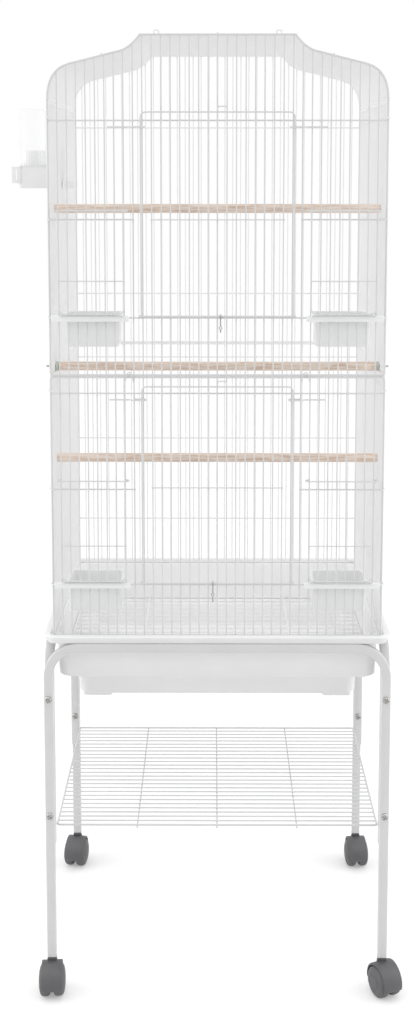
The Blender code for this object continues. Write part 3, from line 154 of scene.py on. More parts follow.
@dataclass(frozen=True)
class Finish:
    """What every finish has: a name, its record slot and its Principled values.

    Attributes:
        name: the real material and how it was finished.
        slot: the record's material slot.
        colour: the main colour as sRGB hex.
        shade: the slightly different colour that the surface wanders to.
        roughness: the mean roughness.
        roughness_swing: how far the roughness wanders to each side.
        mottle_mm: size of the colour and gloss wander.
        grain_mm: size of the fine bumps, drawn coarse enough to show.
        grain_height: depth of the fine bumps in metres.
        metallic: 1 for bare or plated metal.
        ior: refractive index, for what isn't metal.
        coat: weight of the clear skin over the colour.
        milkiness: how much of its light scatters inside its walls.
        milk_depth: how far that light travels, in metres.
    """

    name: str
    slot: str
    colour: str
    shade: str
    roughness: float
    roughness_swing: float = 0.04
    mottle_mm: float = 30.0
    grain_mm: float = 2.0
    grain_height: float = 0.00002
    metallic: float = 0.0
    ior: float = 1.5
    coat: float = 0.0
    milkiness: float = 0.0
    milk_depth: float = 0.005

    def material(self) -> bpy.types.Material:
        """The finish as a Blender material, made once and then shared.

        Returns:
            The material.
        """
        known = bpy.data.materials.get(self.name)
        if known:
            return known
        made = bpy.data.materials.new(self.name)
        made.use_nodes = True
        tree = made.node_tree
        shader = tree.nodes["Principled BSDF"]
        uniform: dict[str, Any] = {
            "Metallic": self.metallic,
            "Subsurface Weight": self.milkiness,
            "Subsurface Radius": (1.0, 1.0, 1.0),
            "Subsurface Scale": self.milk_depth,
            "Coat Weight": self.coat,
            "Coat Roughness": COAT_ROUGHNESS,
        }
        if not self.metallic:
            uniform["IOR"] = self.ior
        for socket, value in uniform.items():
            shader.inputs[socket].default_value = value
        self.paint(tree, shader, add_node(tree, "ShaderNodeTexCoord").outputs["Object"])
        return made

    def paint(self, tree: Tree, shader: bpy.types.Node, place: Socket) -> None:
        """Links the colour, gloss and bumps to the shader.

        Args:
            tree: the material's node tree.
            shader: its Principled node.
            place: Object coordinates.
        """
        mottle = self.noise(tree, place, self.mottle_mm, 3.0)
        tree.links.new(self.tint(tree, mottle), shader.inputs["Base Color"])
        swing = {3: self.roughness - self.roughness_swing, 4: self.roughness + self.roughness_swing}
        gloss = add_node(tree, "ShaderNodeMapRange", None, swing, {0: mottle})
        tree.links.new(gloss.outputs[0], shader.inputs["Roughness"])
        self.bump(tree, shader, self.noise(tree, place, self.grain_mm, 2.0), self.grain_height)

    def tint(self, tree: Tree, factor: Socket) -> Socket:
        """The colour as it wanders between its two shades.

        Args:
            tree: the material's node tree.
            factor: 0 for the main colour and 1 for the other.

        Returns:
            The colour.
        """
        shades = {6: linear(self.colour), 7: linear(self.shade)}
        return add_node(tree, "ShaderNodeMix", {"data_type": "RGBA"}, shades, {0: factor}).outputs[2]

    @staticmethod
    def noise(tree: Tree, place: Socket, millimetres: float, detail: float) -> Socket:
        """A noise whose features have a real size.

        Args:
            tree: the material's node tree.
            place: the coordinates that it reads.
            millimetres: size of the features.
            detail: how many finer layers it has.

        Returns:
            The noise's factor.
        """
        values = {"Scale": 1000.0 / millimetres, "Detail": detail}
        made = add_node(tree, "ShaderNodeTexNoise", None, values, {"Vector": place})
        return made.outputs["Fac"]

    @staticmethod
    def bump(tree: Tree, shader: bpy.types.Node, height: Socket, depth: float) -> None:
        """Turns a height into the shader's normal.

        Args:
            tree: the material's node tree.
            shader: its Principled node.
            height: what the bump reads.
            depth: the bump's distance in metres.
        """
        values = {"Strength": BUMP_STRENGTH, "Distance": depth}
        made = add_node(tree, "ShaderNodeBump", None, values, {"Height": height})
        tree.links.new(made.outputs["Normal"], shader.inputs["Normal"])


@dataclass(frozen=True)
class Dowel(Finish):
    """Sanded, unfinished dowel: grain lines run along X and wander, with darker late wood.

    Attributes:
        late_wood: colour of the grain lines.
        line_mm: distance between grain lines across the dowel.
        stretch: how much longer than wide the grain's features are.
    """

    late_wood: str = "#CFB6A3"
    line_mm: float = 2.2
    stretch: float = 14.0

    def paint(self, tree: Tree, shader: bpy.types.Node, place: Socket) -> None:
        """Links the grain to the shader.

        Args:
            tree: the material's node tree.
            shader: its Principled node.
            place: Object coordinates.
        """
        scale = {"Scale": (1.0 / self.stretch, 1.0, 1.0)}
        along = add_node(tree, "ShaderNodeMapping", None, scale, {"Vector": place}).outputs["Vector"]
        lines = self.noise(tree, along, self.line_mm, 4.0)
        span = {1: 0.46, 2: 0.62, 3: 0.0, 4: 0.85}
        late = add_node(tree, "ShaderNodeMapRange", None, span, {0: lines}).outputs[0]
        ground = self.tint(tree, self.noise(tree, along, self.mottle_mm, 2.0))
        darker = {7: linear(self.late_wood)}
        grain = add_node(tree, "ShaderNodeMix", {"data_type": "RGBA"}, darker, {0: late, 6: ground})
        tree.links.new(grain.outputs[2], shader.inputs["Base Color"])
        shader.inputs["Roughness"].default_value = self.roughness
        self.bump(tree, shader, lines, self.grain_height)


@dataclass(frozen=True)
class ClearShell(Finish):
    """Thin clear plastic: it shows what is behind it, and gathers into a pale line at its rim.

    Attributes:
        face_on: how much of it is seen where it faces the eye.
        at_rim: how much of it is seen at its rim.
    """

    face_on: float = 0.04
    at_rim: float = 0.32

    def paint(self, tree: Tree, shader: bpy.types.Node, place: Socket) -> None:
        """Links the colour, gloss and bumps to the shader, and how much of the wall is seen.

        Args:
            tree: the material's node tree.
            shader: its Principled node.
            place: Object coordinates.
        """
        super().paint(tree, shader, place)
        turned_away = add_node(tree, "ShaderNodeLayerWeight", None, {"Blend": 0.5}).outputs["Facing"]
        span = {1: 0.55, 2: 1.0, 3: self.face_on, 4: self.at_rim}
        seen = add_node(tree, "ShaderNodeMapRange", None, span, {0: turned_away})
        tree.links.new(seen.outputs[0], shader.inputs["Alpha"])


# Polyester powder, baked on the drawn wire: an even satin white with a faint orange peel, here greyed
# with painted shade for the front grilles, doors and clips.
# The peel is really about 1 mm across and is drawn at 2 mm so that it shows.
SHADED_WIRE_COAT = Finish(
    "white_polyester_powder_on_wire", "white_coat", "#E2E2E2", "#DADADB", 0.36, 0.05, 26.0, 2.0, 0.00003,
    coat=0.15,
)
# The same powder in a whiter copy, with painted light, for the sides, back, roof and grate.
PAINTED_LIGHT_COAT = Finish(
    "white_polyester_powder_thick", "white_coat", "#F7F7F7", "#F0F0F1", 0.36, 0.05, 26.0, 2.0, 0.00003,
    coat=0.15,
)
# The same powder on the stand's tube and shelf, greyed with painted shade, about as grey as on the front
# wires.
SHADED_TUBE_COAT = Finish(
    "white_polyester_powder_on_tube", "white_coat", "#E1E1E1", "#D9D9DA", 0.38, 0.05, 34.0, 2.0, 0.00003,
    coat=0.15,
)
# Moulded polypropylene: a soft sheen, with a fine spark-eroded texture.
PAN_PLASTIC = Finish(
    "white_moulded_polypropylene", "white_plastic", "#F8F8F8", "#F2F2F3", 0.42, 0.05, 40.0, 1.6, 0.00003,
    ior=1.49,
)
# Moulded polystyrene with white pigment, so that a little light comes through its walls.
CUP_PLASTIC = Finish(
    "milky_moulded_polystyrene", "cup_plastic", "#F9FAFA", "#F2F4F5", 0.30, 0.04, 24.0, 1.6, 0.00002,
    ior=1.57, milkiness=0.5,
)
# Polished clear polystyrene, half a millimetre thick: almost nothing face on, a pale line at the rim.
CLEAR_PLASTIC = ClearShell(
    "clear_polished_polystyrene", "clear_plastic", "#FBFCFC", "#F3F6F7", 0.06, 0.02, 30.0, 6.0, 0.00002,
    ior=1.57,
)
# Sanded pale softwood dowel without a finish.
DOWEL = Dowel(
    "sanded_unfinished_pine_dowel", "bare_wood", "#EFE2D7", "#E6D4C6", 0.62, 0.0, 18.0, 1.2, 0.00006
)
# Dull nickel plate on pressed steel: grey, with soft lighter and darker patches.
NICKEL = Finish(
    "dull_nickel_plated_steel", "plated_steel", "#B6B6B6", "#9A9A9B", 0.30, 0.08, 5.0, 0.8, 0.00001,
    metallic=1.0,
)
# Bright zinc on cross-head screws: pale domes, with a recess that stays dark.
BRIGHT_ZINC = Finish(
    "bright_zinc_plated_steel", "plated_steel", "#BDBBB8", "#9A9895", 0.26, 0.08, 4.0, 0.8, 0.00001,
    metallic=1.0,
)
# Moulded grey nylon of the casters: matt, with an etched texture drawn at 1.2 mm.
GREY_NYLON = Finish(
    "grey_moulded_nylon", "grey_nylon", "#616163", "#575759", 0.50, 0.06, 14.0, 1.2, 0.00004, ior=1.53
)
# Dark nylon of the stems' collars, a step darker than the hoods.
DARK_NYLON = Finish(
    "dark_moulded_nylon", "black_nylon", "#5C5C5E", "#525254", 0.46, 0.05, 8.0, 1.2, 0.00003, ior=1.53
)
# Pale green-grey rubber washers at the ends of the middle perch.
WASHER_RUBBER = Finish(
    "pale_green_grey_rubber", "black_nylon", "#C6CBBE", "#B9BFB0", 0.62, 0.05, 5.0, 1.0, 0.00003, ior=1.52
)


def add_object(name: str, data: Any) -> Piece:
    """Puts a new object into the scene.

    Args:
        name: its name.
        data: its mesh, light or camera.

    Returns:
        The object.
    """
    made = bpy.data.objects.new(name, data)
    bpy.context.scene.collection.objects.link(made)
    return made


def facing(axis: Point) -> Matrix:
    """A turn that lays Z along an axis."""
    return Vector(axis).to_track_quat("Z", "Y").to_matrix().to_4x4()


class Shape:
    """A mesh in the making, with the few ways in which this object's pieces are shaped."""

    def __init__(self) -> None:
        """Starts an empty mesh."""
        self.mesh = bmesh.new()

    def rod(self, start: Point, end: Point, thickness: float, sides: int = 8) -> None:
        """Adds a straight round wire.

        Args:
            start: one end.
            end: the other end.
            thickness: its diameter.
            sides: how many flats make it round.
        """
        start, end = Vector(start), Vector(end)
        run = end - start
        bmesh.ops.create_cone(
            self.mesh,
            cap_ends=True,
            segments=sides,
            radius1=thickness / 2,
            radius2=thickness / 2,
            depth=run.length,
            matrix=Matrix.Translation((start + end) / 2) @ facing(run),
        )

    def slab(self, low: Point, high: Point, edge: float = 0.0, segments: int = 2) -> None:
        """Adds a block between two corners, with rounded edges.

        Args:
            low: its lowest corner.
            high: its highest corner.
            edge: the radius of its edges.
            segments: steps in each rounded edge.
        """
        low, high = Vector(low), Vector(high)
        matrix = Matrix.Translation((low + high) / 2) @ Matrix.Diagonal((*(high - low), 1.0))
        made = bmesh.ops.create_cube(self.mesh, size=1.0, matrix=matrix)
        if edge > 0.0:
            self.round_edges({line for vertex in made["verts"] for line in vertex.link_edges}, edge, segments)

    def round_edges(self, edges: Iterable[bmesh.types.BMEdge], radius: float, segments: int) -> None:
        """Rounds edges.

        Args:
            edges: the edges.
            radius: how far from each edge its round starts.
            segments: steps in each round.
        """
        bmesh.ops.bevel(
            self.mesh,
            geom=list(edges),
            offset=radius,
            affect="EDGES",
            segments=segments,
            profile=0.5,
            material=-1,
        )

    def disc(self, matrix: Matrix, radius: float, sides: int) -> Face:
        """Adds one round face.

        Args:
            matrix: its place; its normal is the matrix's Z.
            radius: its radius.
            sides: its number of edges.

        Returns:
            The face.
        """
        made = bmesh.ops.create_circle(self.mesh, cap_ends=True, segments=sides, radius=radius, matrix=matrix)
        return made["verts"][0].link_faces[0]

    def plate(self, half_x: float, half_y: float, corner: float, matrix: Matrix, steps: int) -> Face:
        """Adds one flat face with round corners.

        Args:
            half_x: half its size along X.
            half_y: half its size along Y.
            corner: radius of its corners.
            matrix: its place.
            steps: steps in each corner.

        Returns:
            The face.
        """
        sized = matrix @ Matrix.Diagonal((half_x, half_y, 1.0, 1.0))
        made = bmesh.ops.create_grid(self.mesh, x_segments=1, y_segments=1, size=1.0, matrix=sized)
        result = bmesh.ops.bevel(
            self.mesh,
            geom=made["verts"],
            offset=corner,
            offset_type="OFFSET",
            affect="VERTICES",
            segments=steps,
            profile=0.5,
            material=-1,
        )
        return result["verts"][0].link_faces[0]

    def carry(self, face: Face, matrix: Matrix) -> Face:
        """Extrudes a face and moves the new one.

        Args:
            face: the face that the last step left.
            matrix: the new face's move from the old one's place.

        Returns:
            The new face.
        """
        made = bmesh.ops.extrude_face_region(self.mesh, geom=[face, *face.edges])["geom"]
        points = [part for part in made if isinstance(part, bmesh.types.BMVert)]
        bmesh.ops.transform(self.mesh, matrix=matrix, verts=points)
        return next(part for part in made if isinstance(part, Face))

    def sweep(self, face: Face, places: Sequence[Matrix], closed: bool = False) -> None:
        """Draws a face along a row of places.

        Args:
            face: the section, which stands at the first place.
            places: the frames along the way.
            closed: whether the last place is the first one again.
        """
        first = face
        for here, there in zip(places, places[1:]):
            face = self.carry(face, there @ here.inverted())
        if closed:
            rims = list(first.verts) + list(face.verts)
            bmesh.ops.delete(self.mesh, geom=[first, face], context="FACES_ONLY")
            bmesh.ops.remove_doubles(self.mesh, verts=rims, dist=1e-6)

    def wire(
        self,
        path: Iterable[Point],
        thickness: float,
        normal: Point,
        closed: bool = False,
        bend: float = 0.0,
        sides: int = 8,
    ) -> None:
        """Adds a round wire bent along a flat path.

        Args:
            path: the path's corners.
            thickness: the wire's diameter.
            normal: square to the path's plane.
            closed: whether the path returns to its start.
            bend: radius of its bends, or 0 where the path is already smooth.
            sides: how many flats make it round.
        """
        points = [Vector(point) for point in path]
        if bend > 0.0:
            points = softened(points, bend, closed)
        places = frames_along(points, Vector(normal), closed)
        self.sweep(self.disc(places[0], thickness / 2, sides), places, closed)

    def turned(
        self, stations: Sequence[tuple[float, float]], origin: Point, axis: Point, sides: int = 24
    ) -> None:
        """Adds a solid turned round an axis.

        Args:
            stations: (distance along the axis, radius) pairs from one end to the other.
            origin: where the distance is nought.
            axis: the axis's direction.
            sides: how many steps make it round.
        """
        place = Matrix.Translation(origin) @ facing(axis)
        along, radius = stations[0]
        face = self.disc(place @ Matrix.Translation((0, 0, along)), radius, sides)
        for near, far in zip(stations, stations[1:]):
            factor = far[1] / near[1]
            step = (
                place
                @ Matrix.Translation((0, 0, far[0]))
                @ Matrix.Diagonal((factor, factor, 1.0, 1.0))
                @ Matrix.Translation((0, 0, -near[0]))
                @ place.inverted()
            )
            face = self.carry(face, step)

    def tub(self, stations: Sequence["Rim"], centre: Point, steps: int) -> None:
        """Adds a thick-walled tray through level loops with round corners.

        Args:
            stations: the loops, from the outside of its floor over its rim to the inside.
            centre: the middle of the loops on the floor plan.
            steps: steps in each corner.
        """
        first = stations[0]
        base = Matrix.Translation((centre[0], centre[1], first.height))
        face = self.plate(first.half_x, first.half_y, first.corner, base, steps)
        for near, far in zip(stations, stations[1:]):
            face = self.carry(face, Matrix.Translation((0, 0, far.height - near.height)))
            for across in (-1, 1):
                for along in (-1, 1):
                    self.move_corner(face, near, far, centre, across, along)

    def move_corner(
        self, face: Face, near: "Rim", far: "Rim", centre: Point, across: int, along: int
    ) -> None:
        """Moves one round corner of a loop to the next loop's place and radius.

        Args:
            face: the loop's face.
            near: the loop's old sizes.
            far: its new sizes.
            centre: the middle of the loops on the floor plan.
            across: the corner's side along X, -1 or 1.
            along: the corner's side along Y, -1 or 1.
        """
        points = [
            vertex
            for vertex in face.verts
            if (vertex.co.x - centre[0]) * across > 0 and (vertex.co.y - centre[1]) * along > 0
        ]
        old, new = (
            Vector((
                centre[0] + across * (rim.half_x - rim.corner),
                centre[1] + along * (rim.half_y - rim.corner),
                0.0,
            ))
            for rim in (near, far)
        )
        factor = far.corner / near.corner
        sized = Matrix.Diagonal((factor, factor, 1.0, 1.0))
        matrix = Matrix.Translation(new) @ sized @ Matrix.Translation(-old)
        bmesh.ops.transform(self.mesh, matrix=matrix, verts=points)

    def place(self, matrix: Matrix) -> None:
        """Moves everything made so far."""
        bmesh.ops.transform(self.mesh, matrix=matrix, verts=self.mesh.verts[:])

    def to_object(self, name: str) -> Piece:
        """Turns the mesh into an object at the origin, with its place in its mesh.

        Args:
            name: the object's name.

        Returns:
            The object.
        """
        bmesh.ops.transform(self.mesh, matrix=Matrix.Translation(MIDDLE), verts=self.mesh.verts[:])
        bmesh.ops.recalc_face_normals(self.mesh, faces=self.mesh.faces[:])
        data = bpy.data.meshes.new(name)
        self.mesh.to_mesh(data)
        self.mesh.free()
        return add_object(name, data)

    def finish(
        self,
        name: str,
        finish: Finish,
        body: str = MAIN_BODY,
        stands_for: Sequence[str] = (),
        smooth_to: float = 40.0,
    ) -> Piece:
        """Makes the mesh a finished piece that rides on a body.

        Args:
            name: the piece's name.
            finish: its material.
            body: the body that carries it.
            stands_for: the CAD nodes that it replaces.
            smooth_to: edges sharper than this angle in degrees stay crisp.

        Returns:
            The piece.
        """
        made = self.to_object(name)
        dress(made, finish, body, stands_for, smooth_to)
        return made


def dress(
    piece: Piece,
    finish: Finish,
    body: str,
    stands_for: Sequence[str],
    smooth_to: float = 40.0,
) -> None:
    """Gives a piece its material, its shading and its place in the frame.

    Args:
        piece: the object.
        finish: its material.
        body: the body that carries it.
        stands_for: the CAD nodes that it replaces.
        smooth_to: edges sharper than this angle in degrees stay crisp.
    """
    piece.data.materials.clear()
    piece.data.materials.append(finish.material())
    piece.data.shade_smooth()
    piece.data.set_sharp_from_angle(angle=math.radians(smooth_to))
    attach(piece, body)
    if stands_for:
        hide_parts(*stands_for)
    LOG.info("%s: %s, on %s", piece.name, finish.name, body)


def cut(target: Piece, cutter: Shape) -> None:
    """Cuts a shape out of an object and keeps the result as its mesh.

    Args:
        target: the object.
        cutter: the shape, worked out about the middle of the cage.
    """
    tool = cutter.to_object(target.name + "_cutter")
    step = target.modifiers.new("cut", "BOOLEAN")
    step.operation = "DIFFERENCE"
    step.solver = "EXACT"
    step.object = tool
    scene_state = bpy.context.evaluated_depsgraph_get()
    result = bpy.data.meshes.new_from_object(target.evaluated_get(scene_state))
    target.modifiers.clear()
    target.data = result
    bpy.data.objects.remove(tool, do_unlink=True)


def softened(points: Sequence[Vector], bend: float, closed: bool, steps: int = 5) -> list[Vector]:
    """Rounds the corners of a path.

    Args:
        points: the path's corners.
        bend: how far from a corner its bend starts.
        closed: whether the path returns to its start.
        steps: steps in each bend.

    Returns:
        The path with a short curve at each corner.
    """
    made: list[Vector] = []
    count = len(points)
    for i, corner in enumerate(points):
        if not closed and i in (0, count - 1):
            made.append(corner)
            continue
        before = points[i - 1]
        after = points[(i + 1) % count]
        reach = min(bend, (before - corner).length * 0.45, (after - corner).length * 0.45)
        start = corner + (before - corner).normalized() * reach
        end = corner + (after - corner).normalized() * reach
        for k in range(steps + 1):
            t = k / steps
            made.append(start * (1 - t) ** 2 + corner * 2 * t * (1 - t) + end * t * t)
    return made


def frames_along(points: Sequence[Vector], normal: Vector, closed: bool) -> list[Matrix]:
    """Frames along a flat path: Y is the plane's normal and Z runs along the path.

    Args:
        points: the path.
        normal: square to the path's plane.
        closed: whether the path returns to its start.

    Returns:
        One frame for each point, with the first one again at the end of a closed path.
    """
    count = len(points)
    made = []
    for i, point in enumerate(points):
        before = points[i - 1] if closed or i else None
        after = points[(i + 1) % count] if closed or i < count - 1 else None
        arriving = (point - before).normalized() if before is not None else None
        leaving = (after - point).normalized() if after is not None else None
        arriving = arriving if arriving is not None else leaving
        leaving = leaving if leaving is not None else arriving
        along = (arriving + leaving).normalized()
        widening = 1.0 / max(0.5, along.dot(arriving))
        side = normal.cross(along).normalized()
        place = Matrix.Identity(4)
        place.col[0] = (*(side * widening), 0.0)
        place.col[1] = (*normal, 0.0)
        place.col[2] = (*along, 0.0)
        place.col[3] = (*point, 1.0)
        made.append(place)
    if closed:
        made.append(made[0])
    return made


def arc(centre: Point, radius: float, start: float, end: float, steps: int) -> list[tuple[float, float]]:
    """Points of an arc in a plane.

    Args:
        centre: its centre.
        radius: its radius.
        start: the angle in degrees where it starts.
        end: the angle where it ends.
        steps: its number of steps.

    Returns:
        The points.
    """
    turns = [math.radians(start + (end - start) * k / steps) for k in range(steps + 1)]
    return [(centre[0] + radius * math.cos(t), centre[1] + radius * math.sin(t)) for t in turns]


def inner_bars(spaces: int) -> range:
    """Numbers of the bars between the two outermost ones, counted from the middle."""
    return range(1 - spaces // 2, spaces // 2)


@dataclass(frozen=True)
class Rim:
    """One level loop of a moulded tray: half sizes, corner radius and height."""

    half_x: float
    half_y: float
    corner: float
    height: float


@dataclass(frozen=True)
class Gauge:
    """Thicknesses, spacings and gaps that the grilles share."""

    bar: float = 0.0018
    cross: float = 0.0022
    frame: float = 0.0028
    door: float = 0.0022
    clip: float = 0.0016
    gap: float = 0.0003
    half_width: float = 0.2285
    half_depth: float = 0.178
    side_step: float = 0.0005
    front_spaces: int = 36
    side_spaces: int = 28
    door_bar: int = 8
    feeder_inner_bar: int = 10
    feeder_outer_bar: int = 17
    door_standoff: float = 0.0046
    weld: float = 0.0004
    touch: float = 0.0002
    cup_shelf: float = 0.0020
    hook_clearance: float = 0.0028

    @property
    def front_pitch(self) -> float:
        """Distance between the bars of the front and the back."""
        return 2 * self.half_width / self.front_spaces

    @property
    def side_pitch(self) -> float:
        """Distance between the bars of the sides."""
        return 2 * self.half_depth / self.side_spaces

    @property
    def door_y(self) -> float:
        """Plane of the doors' wires."""
        return -self.half_depth - self.door_standoff

    @property
    def side_x(self) -> float:
        """Plane of the side panels' bars."""
        return self.half_width + self.side_step

    @property
    def rail_lift(self) -> float:
        """How far a cross wire lies from the bars that it is welded to."""
        return (self.bar + self.cross) / 2 - self.weld


GAUGE = Gauge()


@dataclass(frozen=True)
class Section:
    """Heights of one cage section, from its foot to its top.

    Attributes:
        name: lower or upper.
        foot: underside of its frame wire.
        top: top of its frame wire, or the roof's edge.
        sill: the rail under the doors.
        mid: the rail halfway up.
        head: the rail over the doors.
        door_mid: the main door's middle wire.
        door_top: the main door's top wire.
        feeder_mid: rise of the feeder doors' middle wire.
        latch_x: where the latch hangs.
        latch_length: how far it hangs down.
    """

    name: str
    foot: float
    top: float
    sill: float
    mid: float
    head: float
    door_mid: float
    door_top: float
    feeder_mid: float
    latch_x: float
    latch_length: float

    @property
    def door_bar(self) -> float:
        """Height of the main door's bottom wire."""
        return self.sill + GAUGE.cross / 2 + GAUGE.gap + GAUGE.door / 2

    @property
    def cup_top(self) -> float:
        """Top of the feeder cups' shelf."""
        return self.sill + GAUGE.cross / 2 + GAUGE.gap + GAUGE.cup_shelf


LOWER_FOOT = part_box("front_panel_lower")[0].z
UPPER_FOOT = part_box("front_panel_upper")[0].z
ROOF_EDGE = UPPER_FOOT + 0.3742
LOWER = Section(
    name="lower",
    foot=LOWER_FOOT,
    top=LOWER_FOOT + 0.3676,
    sill=LOWER_FOOT + 0.0747,
    mid=LOWER_FOOT + 0.2097,
    head=LOWER_FOOT + 0.3441,
    door_mid=LOWER_FOOT + 0.2132,
    door_top=LOWER_FOOT + 0.3538,
    feeder_mid=0.0512,
    latch_x=-0.0062,
    latch_length=0.0270,
)
UPPER = Section(
    name="upper",
    foot=UPPER_FOOT,
    top=ROOF_EDGE,
    sill=UPPER_FOOT + 0.0803,
    mid=UPPER_FOOT + 0.2138,
    head=UPPER_FOOT + 0.3464,
    door_mid=UPPER_FOOT + 0.2138,
    door_top=UPPER_FOOT + 0.3575,
    feeder_mid=0.0455,
    latch_x=0.0042,
    latch_length=0.0225,
)


@dataclass(frozen=True)
class RoofLine:
    """The roof's outline: a flat crown, sloping shoulders and steep rounded eaves."""

    rise: float = 0.0855
    crown_half: float = 0.104
    shoulder_reach: float = 0.032
    shoulder_drop: float = 0.0225
    shoulder_pull: float = 0.014
    shoulder_pull_lift: float = 0.0027
    eave_reach: float = 0.0285
    eave_drop: float = 0.0470
    eave_pull: float = 0.0385
    steps: int = 8

    def half(self) -> list[tuple[float, float]]:
        """The right half, from the crown's end to the eave.

        Returns:
            (x, z) pairs on the wire's middle.
        """
        crown_z = ROOF_EDGE + self.rise
        crown = (self.crown_half, crown_z)
        shoulder = (self.crown_half + self.shoulder_reach, crown_z - self.shoulder_drop)
        shoulder_pull = (self.crown_half + self.shoulder_pull, shoulder[1] + self.shoulder_pull_lift)
        eave = (GAUGE.half_width - self.eave_reach, ROOF_EDGE + self.eave_drop)
        eave_pull = (GAUGE.half_width, ROOF_EDGE + self.eave_pull)
        edge = (GAUGE.half_width, ROOF_EDGE)
        return [crown, *self.curve(crown, shoulder_pull, shoulder), eave, *self.curve(eave, eave_pull, edge)]

    def curve(self, start: Point, pull: Point, end: Point) -> list[tuple[float, float]]:
        """Points of a quadratic curve after its start and up to its end.

        Args:
            start: where it starts.
            pull: the point that it bends towards.
            end: where it ends.

        Returns:
            The points.
        """
        made = []
        for k in range(1, self.steps + 1):
            t = k / self.steps
            weights = ((1 - t) ** 2, 2 * t * (1 - t), t * t)
            made.append(tuple(
                weights[0] * a + weights[1] * b + weights[2] * c for a, b, c in zip(start, pull, end)
            ))
        return made

    def outline(self) -> list[tuple[float, float]]:
        """The whole outline from the left eave to the right one."""
        right = self.half()
        return [(-x, z) for x, z in reversed(right)] + right

    def height(self, x: float) -> float:
        """Height of the outline at x."""
        line = self.outline()
        for (x0, z0), (x1, z1) in zip(line, line[1:]):
            if x0 <= x <= x1 and x1 > x0:
                return z0 + (z1 - z0) * (x - x0) / (x1 - x0)
        return line[0][1]


ROOF_LINE = RoofLine()


@dataclass
class Grille:
    """What the cage's upright panels share: a frame wire, bars and cross wires."""

    section: Section
    corner: float = 0.004

    def outline(self) -> list[tuple[float, float]]:
        """Closed (x, z) path of a front or back frame wire, which follows the roof on the upper section."""
        low = self.section.foot + GAUGE.frame / 2
        half = GAUGE.half_width
        if self.section is LOWER:
            high = self.section.top - GAUGE.frame / 2
            return [(-half, low), (half, low), (half, high), (-half, high)]
        return [(-half, low), (half, low), *reversed(ROOF_LINE.outline())]

    def bar_top(self, x: float) -> float:
        """Height where the bar at x ends in the frame wire."""
        if self.section is LOWER:
            return self.section.top - GAUGE.frame / 2
        return ROOF_LINE.height(x)

    def frame_wire(self, shape: Shape, y: float) -> None:
        """Adds the frame wire of a front or back panel.

        Args:
            shape: the panel's mesh.
            y: the panel's plane.
        """
        path = [Vector((x, y, z)) for x, z in self.outline()]
        if self.section is LOWER:
            path = softened(path, self.corner, True)
        else:
            feet = softened([path[-1], path[0], path[1], path[2]], self.corner, False)
            path = feet[1:-1] + path[2:]
        shape.wire(path, GAUGE.frame, (0, 1, 0), closed=True, sides=10)


@dataclass
class FrontPanel(Grille):
    """Front wall of a section, with its doorways and the arms that guide the main door."""

    split_bar: int = 9
    guide_arm: float = 0.148
    guide_knee: float = 0.120
    guide_front: float = 0.116
    guide_drop: float = 0.0088
    eye_inset: float = 0.0050
    eye_clearance: float = 0.0008

    def spans(self, index: int) -> list[tuple[float, float]]:
        """The stretches of one upright that the doorways leave.

        Args:
            index: the upright's number from the middle.

        Returns:
            (low, high) pairs.
        """
        low = self.section.foot + GAUGE.frame / 2
        high = self.bar_top(index * GAUGE.front_pitch)
        if abs(index) < GAUGE.door_bar:
            return [(low, self.section.sill), (self.section.head, high)]
        if GAUGE.feeder_inner_bar < abs(index) < GAUGE.feeder_outer_bar:
            return [(low, self.section.sill), (self.section.mid, high)]
        return [(low, high)]

    def guide(self, side: Side) -> list[tuple[float, float, float]]:
        """Path of a guide: an arm on the bars, a knee forward and an eye round the door's side wire.

        Args:
            side: the side of the doorway.

        Returns:
            The path's corners.
        """
        front = -GAUGE.half_depth
        lift = (GAUGE.bar + GAUGE.door) / 2 - GAUGE.touch
        knee_y = GAUGE.door_y - GAUGE.door - self.eye_clearance
        eye_x = GAUGE.door_bar * GAUGE.front_pitch - self.eye_inset + GAUGE.door / 2
        end_x = self.split_bar * GAUGE.front_pitch + GAUGE.bar / 2
        plan = [
            (self.guide_arm, front - lift),
            (self.guide_knee, front - lift),
            (self.guide_front, knee_y),
            (eye_x, knee_y),
            (eye_x, front + lift),
            (end_x, front + lift),
        ]
        height = self.section.head - self.guide_drop
        return [(side.value * x, y, height) for x, y in plan]

    def build(self) -> list[Piece]:
        """Builds the panel.

        Returns:
            The finished pieces.
        """
        shape = Shape()
        front = -GAUGE.half_depth
        self.frame_wire(shape, front)
        for index in inner_bars(GAUGE.front_spaces):
            x = index * GAUGE.front_pitch
            for low, high in self.spans(index):
                shape.rod((x, front, low - GAUGE.weld), (x, front, high + GAUGE.weld), GAUGE.bar)
        rail_y = front - GAUGE.rail_lift
        half = GAUGE.half_width
        for height in (self.section.sill, self.section.head):
            shape.rod((-half, rail_y, height), (half, rail_y, height), GAUGE.cross)
        inner = self.split_bar * GAUGE.front_pitch - GAUGE.bar
        mid = self.section.mid
        for side in Side:
            shape.rod((side.value * inner, rail_y, mid), (side.value * half, rail_y, mid), GAUGE.cross)
            shape.wire(self.guide(side), GAUGE.door, (0, 0, 1), bend=0.0022)
        name = "front_panel_" + self.section.name
        return [shape.finish(name + "_wires", SHADED_WIRE_COAT, stands_for=[name])]


@dataclass
class BackPanel(Grille):
    """Back wall of a section, with its cross wires outside."""

    def build(self) -> list[Piece]:
        """Builds the panel.

        Returns:
            The finished pieces.
        """
        shape = Shape()
        back, half = GAUGE.half_depth, GAUGE.half_width
        self.frame_wire(shape, back)
        low = self.section.foot + GAUGE.frame / 2
        for index in inner_bars(GAUGE.front_spaces):
            x = index * GAUGE.front_pitch
            shape.rod((x, back, low), (x, back, self.bar_top(x)), GAUGE.bar)
        rail_y = back + GAUGE.rail_lift
        for height in (self.section.sill, self.section.mid, self.section.head):
            shape.rod((-half, rail_y, height), (half, rail_y, height), GAUGE.cross)
        name = "back_panel_" + self.section.name
        return [shape.finish(name + "_wires", PAINTED_LIGHT_COAT, stands_for=[name])]


